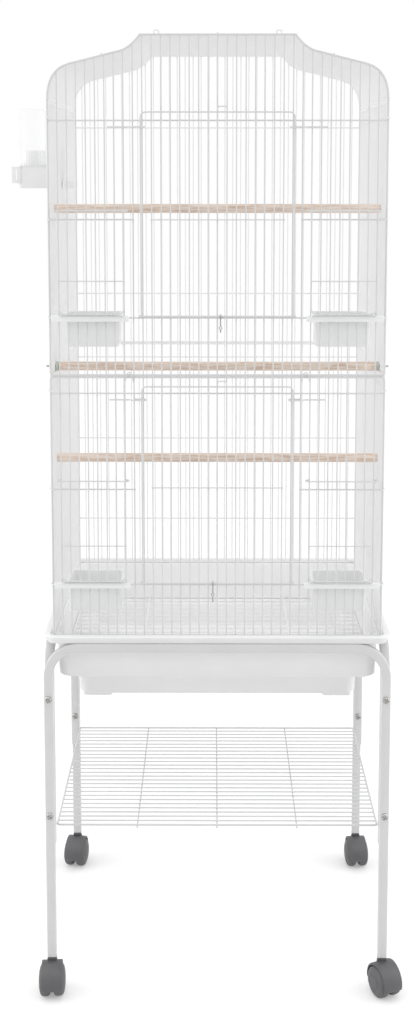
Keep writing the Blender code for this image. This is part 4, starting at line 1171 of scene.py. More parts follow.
@dataclass
class SidePanel(Grille):
    """Side wall of a section, whose cross wires hook round the corner posts."""

    side: Side = Side.LEFT
    head_lift: float = 0.0033
    hook_turn: float = 115.0
    upper_drop: float = 0.0019

    def hooked_wire(self, height: float) -> list[tuple[float, float, float]]:
        """Path of a cross wire with a hook at each end.

        Args:
            height: the wire's height.

        Returns:
            The path's points.
        """
        out = self.side.value
        reach = GAUGE.side_x + GAUGE.frame / 2 + GAUGE.cross / 2 - GAUGE.half_width - GAUGE.touch
        post = (GAUGE.half_width, -GAUGE.half_depth)
        front = arc(post, reach, -self.hook_turn, 0.0, 8)
        back = [(x, -y) for x, y in reversed(front)]
        return [(out * x, y, height) for x, y in front + back]

    def build(self) -> list[Piece]:
        """Builds the panel.

        Returns:
            The finished pieces.
        """
        shape = Shape()
        x = self.side.value * GAUGE.side_x
        low = self.section.foot + GAUGE.frame / 2
        high = self.section.top - GAUGE.frame / 2
        if self.section is UPPER:
            high -= self.upper_drop
        half = GAUGE.half_depth - GAUGE.frame - GAUGE.gap
        ring = [(x, -half, low), (x, half, low), (x, half, high), (x, -half, high)]
        shape.wire(ring, GAUGE.frame, (1, 0, 0), closed=True, bend=self.corner, sides=10)
        for index in inner_bars(GAUGE.side_spaces):
            y = index * GAUGE.side_pitch
            shape.rod((x, y, low), (x, y, high), GAUGE.bar)
        for height in (self.section.sill, self.section.mid, self.section.head + self.head_lift):
            shape.wire(self.hooked_wire(height), GAUGE.cross, (0, 0, 1))
        name = self.side.word + "_panel_" + self.section.name
        return [shape.finish(name + "_wires", PAINTED_LIGHT_COAT, stands_for=[name])]


@dataclass
class Roof:
    """Arched roof: wires across, two eave rails, three wires along the depth and two small loops."""

    spaces: int = 28
    brace_reach: float = 0.155
    loop_reach: float = 0.082
    loop_width: float = 0.0067
    loop_rise: float = 0.0062

    def build(self) -> list[Piece]:
        """Builds the roof.

        Returns:
            The finished pieces.
        """
        shape = Shape()
        outline = ROOF_LINE.outline()
        half = GAUGE.half_depth - GAUGE.frame - GAUGE.gap
        pitch = 2 * half / self.spaces
        for index in range(self.spaces + 1):
            y = -half + index * pitch
            thickness = GAUGE.frame if index in (0, self.spaces) else GAUGE.bar
            sides = 10 if index in (0, self.spaces) else 8
            shape.wire([(x, y, z) for x, z in outline], thickness, (0, 1, 0), sides=sides)
        reach = half + GAUGE.frame / 2
        for side in Side:
            x = side.value * GAUGE.half_width
            shape.rod((x, -reach, ROOF_EDGE), (x, reach, ROOF_EDGE), GAUGE.frame, 10)
        self.add_braces(shape, reach)
        self.add_loops(shape, half)
        return [shape.finish("roof_wires", PAINTED_LIGHT_COAT, stands_for=["roof_panel"])]

    def add_braces(self, shape: Shape, reach: float) -> None:
        """Adds the wires along the depth, on top of the others.

        Args:
            shape: the roof's mesh.
            reach: half their length.
        """
        lift = GAUGE.frame / 2 + GAUGE.cross / 2 - GAUGE.touch
        step = GAUGE.cross
        for x in (-self.brace_reach, 0.0, self.brace_reach):
            rise = ROOF_LINE.height(x + step) - ROOF_LINE.height(x - step)
            up = Vector((-rise, 0.0, 2 * step)).normalized()
            middle = Vector((x, 0.0, ROOF_LINE.height(x))) + up * lift
            shape.rod(middle - Vector((0, reach, 0)), middle + Vector((0, reach, 0)), GAUGE.cross)

    def add_loops(self, shape: Shape, half: float) -> None:
        """Adds the two small loops on the front wire.

        Args:
            shape: the roof's mesh.
            half: half the depth between the end wires.
        """
        crown = ROOF_LINE.height(0.0)
        for side in Side:
            near = side.value * self.loop_reach - self.loop_width / 2
            far = near + self.loop_width
            top = crown + self.loop_rise
            path = [(near, crown), (near, top), (far, top), (far, crown)]
            shape.wire([(x, -half, z) for x, z in path], GAUGE.clip, (0, 1, 0), bend=0.0026)


def hook(bar_x: float, outward: int) -> list[tuple[float, float]]:
    """Plan of a door wire's end that passes a bar on one side and curls behind it.

    Args:
        bar_x: the bar's place.
        outward: which side it passes on, -1 or 1.

    Returns:
        The (x, y) path.
    """
    pass_x = bar_x + outward * (GAUGE.bar / 2 + GAUGE.hook_clearance + GAUGE.door / 2)
    behind = -GAUGE.half_depth + GAUGE.bar / 2 + GAUGE.hook_clearance / 2 + GAUGE.door / 2
    return [(pass_x, GAUGE.door_y), (pass_x, behind), (bar_x - outward * GAUGE.bar / 2, behind)]


@dataclass
class MainDoor:
    """Large sliding door with rounded top corners, a middle wire, hooked ends and a lift loop."""

    section: Section
    side_clearance: float = 0.0019
    corner: float = 0.008
    handle_rise: float = 0.0075
    mid_tip: float = 0.002

    def build(self) -> list[Piece]:
        """Builds the door.

        Returns:
            The finished pieces.
        """
        shape = Shape()
        y = GAUGE.door_y
        half = GAUGE.door_bar * GAUGE.front_pitch + self.side_clearance
        low, high = self.section.door_bar, self.section.door_top
        path = [(-half, y, low), (-half, y, high), (half, y, high), (half, y, low)]
        shape.wire(path, GAUGE.door, (0, 1, 0), bend=self.corner, sides=10)
        for index in range(1 - GAUGE.door_bar, GAUGE.door_bar):
            x = index * GAUGE.front_pitch
            shape.rod((x, y, low), (x, y, high), GAUGE.bar)
        self.add_bottom_wire(shape, low)
        reach = (GAUGE.door_bar - 1) * GAUGE.front_pitch + self.mid_tip
        lift = GAUGE.bar / 2 + GAUGE.cross / 2 - GAUGE.touch
        mid = self.section.door_mid
        shape.rod((-reach, y - lift, mid), (reach, y - lift, mid), GAUGE.bar)
        top = high + self.handle_rise
        loop = [(0.0, high), (0.0, top), (GAUGE.front_pitch, top), (GAUGE.front_pitch, high)]
        shape.wire([(x, y, z) for x, z in loop], GAUGE.bar, (0, 1, 0), bend=0.0035)
        name = "main_door_" + self.section.name
        return [shape.finish(name + "_wires", SHADED_WIRE_COAT, name, [name])]

    def add_bottom_wire(self, shape: Shape, low: float) -> None:
        """Adds the bottom wire, whose ends curl behind a bar of the panel.

        Args:
            shape: the door's mesh.
            low: its height.
        """
        edge = GAUGE.door_bar * GAUGE.front_pitch
        left = [(-x, y, low) for x, y in reversed(hook(edge, 1))]
        right = [(x, y, low) for x, y in hook(edge, 1)]
        shape.wire(left + right, GAUGE.door, (0, 0, 1), bend=0.0024)


@dataclass
class FeederDoor:
    """Small sliding door over a feeder cup, with rounded bottom corners and a hooked top wire."""

    section: Section
    side: Side
    corner: float = 0.010
    top_rise: float = 0.0120
    mid_tip: float = 0.001

    def build(self) -> list[Piece]:
        """Builds the door.

        Returns:
            The finished pieces.
        """
        shape = Shape()
        y = GAUGE.door_y
        out = self.side.value
        bars = (GAUGE.feeder_inner_bar, GAUGE.feeder_outer_bar)
        inner, outer = (bar * GAUGE.front_pitch for bar in bars)
        low = self.section.cup_top + GAUGE.gap + GAUGE.door / 2
        high = self.section.mid + self.top_rise
        path = [(inner, high), (inner, low), (outer, low), (outer, high)]
        shape.wire([(out * x, y, z) for x, z in path], GAUGE.door, (0, 1, 0), bend=self.corner, sides=10)
        for index in range(bars[0] + 1, bars[1]):
            x = out * index * GAUGE.front_pitch
            shape.rod((x, y, low), (x, y, high), GAUGE.bar)
        inner_end = [(out * x, y_, high) for x, y_ in reversed(hook(inner, -1))]
        outer_end = [(out * x, y_, high) for x, y_ in hook(outer, 1)]
        shape.wire(inner_end + outer_end, GAUGE.door, (0, 0, 1), bend=0.0024)
        lift = GAUGE.bar / 2 + GAUGE.door / 2 - GAUGE.touch
        mid = low + self.section.feeder_mid
        near, far = out * (inner - self.mid_tip), out * (outer + self.mid_tip)
        shape.rod((near, y - lift, mid), (far, y - lift, mid), GAUGE.bar)
        name = "feeder_door_" + self.section.name + "_" + self.side.word
        return [shape.finish(name + "_wires", SHADED_WIRE_COAT, name, [name])]


@dataclass
class DoorLatch:
    """Steel latch: an eye rolled round the door's bottom wire, a blade, a small ring and a tip."""

    section: Section
    eye: float = 0.0019
    wall: float = 0.0009
    width: float = 0.0026
    tip_width: float = 0.0019
    thickness: float = 0.0010
    ring_radius: float = 0.0019
    ring_wire: float = 0.0012
    ring_drop: float = 0.0160

    def build(self) -> list[Piece]:
        """Builds the latch.

        Returns:
            The finished pieces.
        """
        shape = Shape()
        x, y, z = self.section.latch_x, GAUGE.door_y, self.section.door_bar
        rolled = [(x, y + a, z + b) for a, b in arc((0, 0), self.eye + self.wall / 2, -80, 250, 18)]
        self.strip(shape, rolled, [self.width] * len(rolled))
        ring_z = z - self.ring_drop
        top = z - self.eye - self.wall / 2
        blade = [(x, y, top), (x, y, top - 0.0030), (x, y, ring_z + self.ring_radius)]
        self.strip(shape, blade, [self.width, self.tip_width, self.tip_width])
        tip = [(x, y, ring_z - self.ring_radius), (x, y, z - self.section.latch_length)]
        self.strip(shape, tip, [self.tip_width, self.tip_width])
        turns = arc((0, 0), self.ring_radius, 0, 360, 18)[:-1]
        shape.wire([(x + a, y, ring_z + b) for a, b in turns], self.ring_wire, (0, 1, 0), closed=True)
        name = "door_latch_" + self.section.name
        return [shape.finish(name + "_hook", NICKEL, name, [name])]

    def strip(self, shape: Shape, path: Sequence[Point], widths: Sequence[float]) -> None:
        """Adds a flat strip that bends along a path and changes its width.

        Args:
            shape: the latch's mesh.
            path: the strip's middle line, in a plane square to X.
            widths: its width at each point.
        """
        places = frames_along([Vector(point) for point in path], Vector((1, 0, 0)), False)
        sized = [place @ Matrix.Diagonal((1.0, width, 1.0, 1.0)) for place, width in zip(places, widths)]
        face = shape.plate(self.thickness / 2, 0.5, 0.0002, sized[0], 2)
        shape.sweep(face, sized)


@dataclass
class SectionClip:
    """Arched wire clip that ties the two sections together."""

    side: Side
    rise: float = 0.0052
    arch: float = 0.0147
    leg: float = 0.0040
    top_half: float = 0.0028
    place_spaces: float = 9.5

    def build(self) -> list[Piece]:
        """Builds the clip.

        Returns:
            The finished pieces.
        """
        shape = Shape()
        y = -GAUGE.half_depth - GAUGE.frame / 2 - GAUGE.gap - GAUGE.clip / 2
        top = UPPER_FOOT + self.rise
        foot_half = GAUGE.front_pitch / 2
        half = [
            (foot_half, top - self.arch - self.leg),
            (foot_half, top - self.arch),
            (self.top_half, top - GAUGE.clip),
            (self.top_half / 2, top),
        ]
        middle = self.side.value * self.place_spaces * GAUGE.front_pitch
        path = [(middle - x, y, z) for x, z in half] + [(middle + x, y, z) for x, z in reversed(half)]
        shape.wire(path, GAUGE.clip, (0, 1, 0), bend=0.0018)
        name = "section_clip_" + self.side.word
        return [shape.finish(name + "_wire", SHADED_WIRE_COAT, stands_for=[name])]


@dataclass
class FeederCup:
    """Moulded feeder cup that hangs over the sill, with its bowl inside and its lip in front."""

    section: Section
    side: Side
    inner: float = 0.133
    outer: float = 0.2085
    depth: float = 0.056
    height: float = 0.044
    wall: float = 0.0018
    corner: float = 0.007
    taper: float = 0.0015
    lip_inner: float = 0.1205
    lip_outer: float = 0.2265
    lip_drop: float = 0.0085
    lip_thickness: float = 0.0020

    def build(self) -> list[Piece]:
        """Builds the cup.

        Returns:
            The finished pieces.
        """
        shape = Shape()
        out = self.side.value
        front = -GAUGE.half_depth + GAUGE.frame / 2 + GAUGE.gap
        centre = (out * (self.inner + self.outer) / 2, front + self.depth / 2)
        half_x, half_y = (self.outer - self.inner) / 2, self.depth / 2
        top = self.section.cup_top
        self.add_bowl(shape, half_x, half_y, top, centre)
        lip_front = GAUGE.door_y - GAUGE.door / 2
        clear = GAUGE.bar / 2 + 2 * GAUGE.gap
        shelf_inner = GAUGE.feeder_inner_bar * GAUGE.front_pitch + clear
        shelf_outer = GAUGE.feeder_outer_bar * GAUGE.front_pitch - clear
        low_x, high_x = sorted((out * shelf_inner, out * shelf_outer))
        shelf_low = (low_x, lip_front + SOFT, top - GAUGE.cup_shelf)
        shape.slab(shelf_low, (high_x, front + self.wall * 0.6, top), 0.0005)
        low_x, high_x = sorted((out * self.lip_inner, out * self.lip_outer))
        lip_low = (low_x, lip_front, top - self.lip_drop)
        lip_high = (high_x, lip_front + self.lip_thickness, top + 0.0002)
        shape.slab(lip_low, lip_high, 0.0008, 3)
        name = "feeder_cup_" + self.section.name + "_" + self.side.word
        return [shape.finish(name + "_moulding", CUP_PLASTIC, stands_for=[name])]

    def add_bowl(self, shape: Shape, half_x: float, half_y: float, top: float, centre: Point) -> None:
        """Adds the bowl with a rounded foot and a rounded rim.

        Args:
            shape: the cup's mesh.
            half_x: half its width.
            half_y: half its depth.
            top: its height.
            centre: its middle on the plan.
        """
        low = top - self.height
        foot = 0.0022
        wall = self.wall
        edge = 0.0005
        sizes = (
            (self.taper + foot, low),
            (self.taper + foot * 0.3, low + foot * 0.3),
            (self.taper, low + foot),
            (0.0, top - edge),
            (edge, top),
            (wall - edge, top),
            (wall, top - edge),
            (self.taper + wall, low + foot + wall),
            (self.taper + wall + foot, low + wall),
        )
        rims = [Rim(half_x - i, half_y - i, max(0.0012, self.corner - i), z) for i, z in sizes]
        shape.tub(rims, centre, 5)


@dataclass
class Perches:
    """Three dowels across the cage; the middle one is screwed through the side panels."""

    radius: float = 0.00635
    side_spaces: float = 9.5
    middle_half: float = 0.2229
    chamfer: float = 0.0007
    screw_radius: float = 0.0015
    washer_radius: float = 0.0068
    nut_radius: float = 0.0048
    nut_width: float = 0.0040
    nut_edge: float = 0.0004
    screw_reach: float = 0.0105
    thread_pitch: float = 0.0009
    root_share: float = 0.86
    edge: float = 0.0003
    upper_rise: float = 0.2270
    middle_rise: float = 0.0054
    lower_rise: float = 0.2420

    def build(self) -> list[Piece]:
        """Builds the dowels and the screws.

        Returns:
            The finished pieces.
        """
        y = -self.side_spaces * GAUGE.side_pitch
        end = GAUGE.side_x - GAUGE.frame / 2 - GAUGE.gap
        middle_z = UPPER_FOOT + self.middle_rise
        places = (
            ("perch_upper", UPPER_FOOT + self.upper_rise, end),
            ("perch_middle", middle_z, self.middle_half),
            ("perch_lower", LOWER_FOOT + self.lower_rise, end),
        )
        made = []
        for node, z, half in places:
            shape = Shape()
            shape.turned(self.dowel(half), (0, y, z), (1, 0, 0), 28)
            made.append(shape.finish(node + "_dowel", DOWEL, stands_for=[node], smooth_to=50))
        for side in Side:
            made += self.screw(side, y, middle_z, end)
        return made

    def dowel(self, half: float) -> list[tuple[float, float]]:
        """Stations of a dowel with chamfered ends.

        Args:
            half: half its length.

        Returns:
            (distance, radius) pairs.
        """
        one = [(half, self.radius - self.chamfer), (half - self.chamfer, self.radius)]
        return [(-along, radius) for along, radius in one] + list(reversed(one))

    def screw(self, side: Side, y: float, z: float, end: float) -> list[Piece]:
        """Builds a washer, a threaded screw and its nut.

        Args:
            side: the side of the cage.
            y: the screw's place.
            z: the screw's height.
            end: where the washer meets the side panel.

        Returns:
            The finished pieces.
        """
        axis = (side.value, 0, 0)
        outside = GAUGE.side_x + GAUGE.frame / 2 + GAUGE.gap
        node = "perch_screw_" + side.word
        washer = Shape()
        start, edge = self.middle_half + GAUGE.gap, self.edge
        stations = [
            (start, self.washer_radius - edge),
            (start + edge, self.washer_radius),
            (end - edge, self.washer_radius),
            (end, self.washer_radius - edge),
        ]
        washer.turned(stations, (0, y, z), axis, 24)
        made = [washer.finish(node + "_washer", WASHER_RUBBER)]
        thread = Shape()
        root = self.screw_radius * self.root_share
        stations = [(end - GAUGE.touch, root)]
        along = end
        tip = outside + self.screw_reach
        while along < tip - self.thread_pitch:
            stations.append((along + self.thread_pitch / 2, self.screw_radius))
            stations.append((along + self.thread_pitch, root))
            along += self.thread_pitch
        stations.append((tip, self.screw_radius * 0.6))
        thread.turned(stations, (0, y, z), axis, 12)
        rises = (0.0, self.nut_edge, self.nut_width - self.nut_edge, self.nut_width)
        shares = (0.94, 0.9964, 0.9964, 0.9366)
        nut = [(outside + rise, self.nut_radius * share) for rise, share in zip(rises, shares)]
        thread.turned(nut, (0, y, z), axis, 6)
        made.append(thread.finish(node + "_thread", NICKEL, stands_for=[node], smooth_to=30))
        return made


@dataclass
class Drinker:
    """Drinker on the left side: a clear bottle upside down on a trough that reaches into the cage."""

    side_spaces: float = -0.5
    reach: float = 0.0652
    centre: float = 0.0420
    bottle_radius: float = 0.0195
    bottle_wall: float = 0.0005
    bottle_height: float = 0.0605
    collar_radius: float = 0.0185
    collar_height: float = 0.0220
    ribs: int = 30
    rib_height: float = 0.0004
    trough_rise: float = 0.2534
    trough_height: float = 0.0329
    trough_width: float = 0.0400
    corner: float = 0.0100
    inner_edge: float = 0.0065
    lid: float = 0.0016
    lid_groove: float = 0.0012
    tab_reach: float = 0.0061
    tab_width: float = 0.0130
    tab_drop: float = 0.0240
    tab_thickness: float = 0.0030
    slot_half: float = 0.0011
    slot_rise: float = 0.0055
    slot_drop: float = 0.0025
    dish_reach: float = 0.0190
    dish_width: float = 0.0340
    dish_wall: float = 0.0018
    dish_standoff: float = 0.0012
    neck_height: float = 0.0110
    neck_clearance: float = 0.0006
    shoulder: float = 0.0050

    def build(self) -> list[Piece]:
        """Builds the trough, its collar and the bottle.

        Returns:
            The finished pieces.
        """
        y = self.side_spaces * GAUGE.side_pitch
        low = UPPER_FOOT + self.trough_rise
        top = low + self.trough_height
        axis_x = -GAUGE.half_width - self.centre
        return [*self.trough(y, low, top), self.collar(axis_x, y, top), self.bottle(axis_x, y, top)]

    def trough(self, y: float, low: float, top: float) -> list[Piece]:
        """Builds the outer block with its lid and tab, the neck and the dish inside the cage.

        Args:
            y: its middle.
            low: its underside.
            top: its top.

        Returns:
            The finished pieces.
        """
        shape = Shape()
        outer_x, inner_x = -GAUGE.half_width - self.reach, -GAUGE.half_width - self.inner_edge
        half_x, half_y = (inner_x - outer_x) / 2, self.trough_width / 2
        centre = ((outer_x + inner_x) / 2, y)
        inset = self.corner / 4
        lid_low = top - self.lid
        sizes = (
            (inset + 0.001, low),
            (inset, low + 0.001),
            (SOFT, low + self.corner),
            (SOFT, lid_low - SOFT),
            (self.lid_groove, lid_low - SOFT),
            (self.lid_groove, lid_low),
            (0.0, lid_low),
            (0.0, top - SOFT),
            (SOFT, top),
        )
        rims = [Rim(half_x - i, half_y - i, self.corner - i, z) for i, z in sizes]
        shape.tub(rims, centre, 6)
        self.add_dish(shape, y, low)
        body = shape.finish("drinker_trough_moulding", PAN_PLASTIC, stands_for=["drinker_trough"])
        tab = Shape()
        front = y - half_y
        tab_top = top - self.lid
        tab_low = (outer_x - self.tab_reach, front - self.tab_thickness / 3, tab_top - self.tab_drop)
        tab_high = (outer_x - self.tab_reach + self.tab_width, front + self.tab_thickness, tab_top)
        tab.slab(tab_low, tab_high, 0.0007, 2)
        made = tab.to_object("drinker_tab")
        slot = Shape()
        middle = (tab_low[0] + tab_high[0]) / 2
        slot_low = (middle - self.slot_half, front - 0.003, tab_low[2] + self.slot_rise)
        slot_high = (middle + self.slot_half, front + 0.006, tab_top - self.slot_drop)
        slot.slab(slot_low, slot_high, 0.0009, 3)
        cut(made, slot)
        dress(made, PAN_PLASTIC, MAIN_BODY, ())
        return [body, made]

    def add_dish(self, shape: Shape, y: float, low: float) -> None:
        """Adds the neck that passes between two bars and the dish at its end.

        Args:
            shape: the trough's mesh.
            y: its middle.
            low: its underside.
        """
        neck_half = GAUGE.side_pitch / 2 - GAUGE.bar / 2 - self.neck_clearance
        start = -GAUGE.side_x + GAUGE.frame / 2 + self.dish_standoff
        shape.slab(
            (-GAUGE.half_width - self.inner_edge - self.corner, y - neck_half, low + 0.0002),
            (start + self.dish_wall / 2, y + neck_half, low + self.neck_height - 0.0002),
            0.0008,
        )
        half_x, half_y, wall = self.dish_reach / 2, self.dish_width / 2, self.dish_wall
        top = low + self.neck_height
        sizes = (
            (0.0010, low),
            (0.0, low + 0.0010),
            (0.0, top - SOFT),
            (SOFT, top),
            (wall - SOFT, top),
            (wall, top - SOFT),
            (wall, low + wall + 0.001),
            (wall + 0.001, low + wall),
        )
        rims = [Rim(half_x - i, half_y - i, max(0.0012, 2 * wall - i), z) for i, z in sizes]
        shape.tub(rims, (start + half_x, y), 4)

    def collar(self, x: float, y: float, foot: float) -> Piece:
        """Builds the ribbed collar that grips the bottle.

        Args:
            x: its axis.
            y: its axis.
            foot: its underside.

        Returns:
            The finished piece.
        """
        shape = Shape()
        sides = 2 * self.ribs
        top = self.collar_height
        radius, edge = self.collar_radius, 0.0008
        stations = [(-0.0004, radius), (top - edge, radius), (top, radius - edge)]
        shape.turned(stations, (x, y, foot), (0, 0, 1), sides)
        flanks = [face for face in shape.mesh.faces if abs(face.normal.z) < 0.2 and len(face.verts) == 4]
        bmesh.ops.recalc_face_normals(shape.mesh, faces=shape.mesh.faces[:])
        flanks = sorted(
            (face for face in flanks if face.calc_area() > 1e-6),
            key=lambda face: math.atan2(face.calc_center_median().y - y, face.calc_center_median().x - x),
        )
        tall = [face for face in flanks if face.calc_center_median().z < foot + top * 0.7]
        bmesh.ops.inset_individual(shape.mesh, faces=tall[::2], thickness=0.0002, depth=self.rib_height)
        return shape.finish("drinker_collar", CUP_PLASTIC, smooth_to=25)

    def bottle(self, x: float, y: float, trough_top: float) -> Piece:
        """Builds the bottle, an empty shell with rounded shoulders that is open at its foot.

        Args:
            x: its axis.
            y: its axis.
            trough_top: top of the trough.

        Returns:
            The finished piece.
        """
        shape = Shape()
        foot = self.collar_height + GAUGE.gap
        top = foot + self.bottle_height
        outer, wall = self.bottle_radius, self.bottle_wall
        centre = (outer - self.shoulder, top - self.shoulder)
        outside = [(along, radius) for radius, along in arc(centre, self.shoulder, 0, 90, 6)]
        inside = [(along, radius) for radius, along in arc(centre, self.shoulder - wall, 0, 90, 6)]
        stations = [
            (top - wall, 0.0008),
            *reversed(inside),
            (foot + 0.0006, outer - wall),
            (foot, outer - wall + SOFT),
            (foot, outer - SOFT),
            (foot + 0.0006, outer),
            *outside,
            (top, 0.0008),
        ]
        shape.turned(stations, (x, y, trough_top), (0, 0, 1), 40)
        node = "drinker_bottle"
        return shape.finish(node + "_shell", CLEAR_PLASTIC, stands_for=[node], smooth_to=50)


@dataclass
class BasePan:
    """Moulded pan: a lip on the stand's rails, a seat for the cage, a body, a basin and four feet."""

    half_width: float = 0.243
    half_depth: float = 0.193
    wall: float = 0.0022
    lip_width: float = 0.0105
    lip_height: float = 0.0114
    lip_edge: float = 0.0028
    skirt: float = 0.0060
    body: float = 0.0175
    basin: float = 0.0430
    body_depth: float = 0.0609
    basin_depth: float = 0.0345
    body_taper: float = 0.0015
    basin_taper: float = 0.0020
    seat_corner: float = 0.0075
    body_corner: float = 0.020
    foot_near: float = 0.1506
    foot_far: float = 0.1925
    foot_length: float = 0.030
    foot_height: float = 0.0062
    foot_inset: float = 0.0100

    def rim(self, inset: float, corner: float, height: float) -> Rim:
        """A loop of the pan, set in from the outside of its lip."""
        return Rim(self.half_width - inset, self.half_depth - inset, corner, height)

    def build(self) -> list[Piece]:
        """Builds the pan.

        Returns:
            The finished pieces.
        """
        shape = Shape()
        pan_low, pan_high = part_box("base_pan")
        seat = LOWER_FOOT - GAUGE.gap
        top = pan_high.z
        self.add_shell(shape, seat, top)
        self.add_feet(shape, pan_low.z)
        return [shape.finish("base_pan_moulding", PAN_PLASTIC, stands_for=["base_pan"], smooth_to=45)]

    def add_shell(self, shape: Shape, seat: float, top: float) -> None:
        """Adds the shell, from the outside of its floor over its lip to the inside.

        Args:
            shape: the pan's mesh.
            seat: where the cage stands.
            top: top of the lip.
        """
        wall, body, basin = self.wall, self.body, self.basin
        lip_bottom = top - self.lip_height
        ledge = seat - self.body_depth
        floor = ledge - self.basin_depth
        under = seat - wall
        lip_corner = self.seat_corner + self.lip_width
        skirt_corner = lip_corner - self.skirt
        corner, in_corner = self.body_corner, self.body_corner - wall
        taper, low_taper = self.body_taper, self.basin_taper
        soft = 0.0016
        loops = (
            (basin + low_taper + soft, corner, floor),
            (basin + low_taper, corner, floor + soft),
            (basin, corner, ledge),
            (body + taper + soft, corner, ledge),
            (body + taper, corner, ledge + soft),
            (body, corner, under),
            (self.skirt + wall, skirt_corner - wall, under),
            (self.skirt + wall, skirt_corner - wall, lip_bottom),
            (self.skirt, skirt_corner, lip_bottom),
            (SOFT, lip_corner, top - self.lip_edge - SOFT),
            (0.0, lip_corner, top - self.lip_edge + 0.0002),
            (0.0, lip_corner, top - 0.0012),
            (SOFT, lip_corner, top - SOFT),
            (0.0013, lip_corner, top),
            (self.lip_width - 0.0024, self.seat_corner + 0.0024, top),
            (self.lip_width - 0.0009, self.seat_corner + 0.0009, top - 0.0007),
            (self.lip_width, self.seat_corner, seat),
            (body + wall - soft, corner, seat),
            (body + wall, in_corner, seat - soft),
            (body + taper + wall, in_corner, ledge + wall + soft),
            (body + taper + wall + soft, in_corner, ledge + wall),
            (basin + wall - soft, in_corner, ledge + wall),
            (basin + wall, in_corner, ledge + wall - soft),
            (basin + low_taper + wall, in_corner, floor + wall + soft),
            (basin + low_taper + wall + soft, in_corner, floor + wall),
        )
        shape.tub([self.rim(*loop) for loop in loops], (0.0, 0.0), 6)

    def add_feet(self, shape: Shape, low: float) -> None:
        """Adds the four hollow feet under the basin.

        Args:
            shape: the pan's mesh.
            low: underside of the feet.
        """
        outer_y = self.half_depth - self.basin - self.foot_inset
        top = low + self.foot_height + 0.0008
        for side in Side:
            for end in (-1, 1):
                xs = sorted((side.value * self.foot_near, side.value * self.foot_far))
                ys = sorted((end * outer_y, end * (outer_y - self.foot_length)))
                centre = ((xs[0] + xs[1]) / 2, (ys[0] + ys[1]) / 2)
                half_x, half_y = (xs[1] - xs[0]) / 2, (ys[1] - ys[0]) / 2
                loops = (
                    (0.0, top), (0.0, low + 0.0012), (SOFT, low + 0.0003), (0.0012, low),
                    (0.0030, low), (0.0036, low + 0.0030),
                )
                shape.tub([Rim(half_x - i, half_y - i, 0.0050 - i, z) for i, z in loops], centre, 4)


def level_grid(
    shape: Shape, half_x: float, half_y: float, z: float, spaces: int, bar: float, bend: float
) -> None:
    """Adds a level frame wire with bars along X.

    Args:
        shape: the grid's mesh.
        half_x: half its width between the middles of the frame wire.
        half_y: half its depth.
        z: height of the wires' middles.
        spaces: how many spaces the bars leave.
        bar: the bars' thickness.
        bend: radius of the frame's corners.
    """
    ring = [(-half_x, -half_y, z), (half_x, -half_y, z), (half_x, half_y, z), (-half_x, half_y, z)]
    shape.wire(ring, GAUGE.frame, (0, 0, 1), closed=True, bend=bend, sides=10)
    pitch = 2 * half_y / spaces
    for index in inner_bars(spaces):
        shape.rod((-half_x, index * pitch, z), (half_x, index * pitch, z), bar)


@dataclass
class FloorGrate:
    """Wire grate that lies on the pan's ledge."""

    spaces: int = 18
    brace_reach: float = 0.110
    ledge_inset: float = 0.0217
    corner: float = 0.0173

    def build(self) -> list[Piece]:
        """Builds the grate.

        Returns:
            The finished pieces.
        """
        shape = Shape()
        half_x = BasePan.half_width - self.ledge_inset - GAUGE.frame / 2
        half_y = BasePan.half_depth - self.ledge_inset - GAUGE.frame / 2
        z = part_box("floor_grate")[0].z + GAUGE.frame / 2
        level_grid(shape, half_x, half_y, z, self.spaces, GAUGE.bar, self.corner)
        lift = z + GAUGE.frame / 2 + GAUGE.cross / 2 - GAUGE.touch
        for x in (-self.brace_reach, self.brace_reach):
            shape.rod((x, -half_y, lift), (x, half_y, lift), GAUGE.cross)
        return [shape.finish("floor_grate_wires", PAINTED_LIGHT_COAT, stands_for=["floor_grate"])]


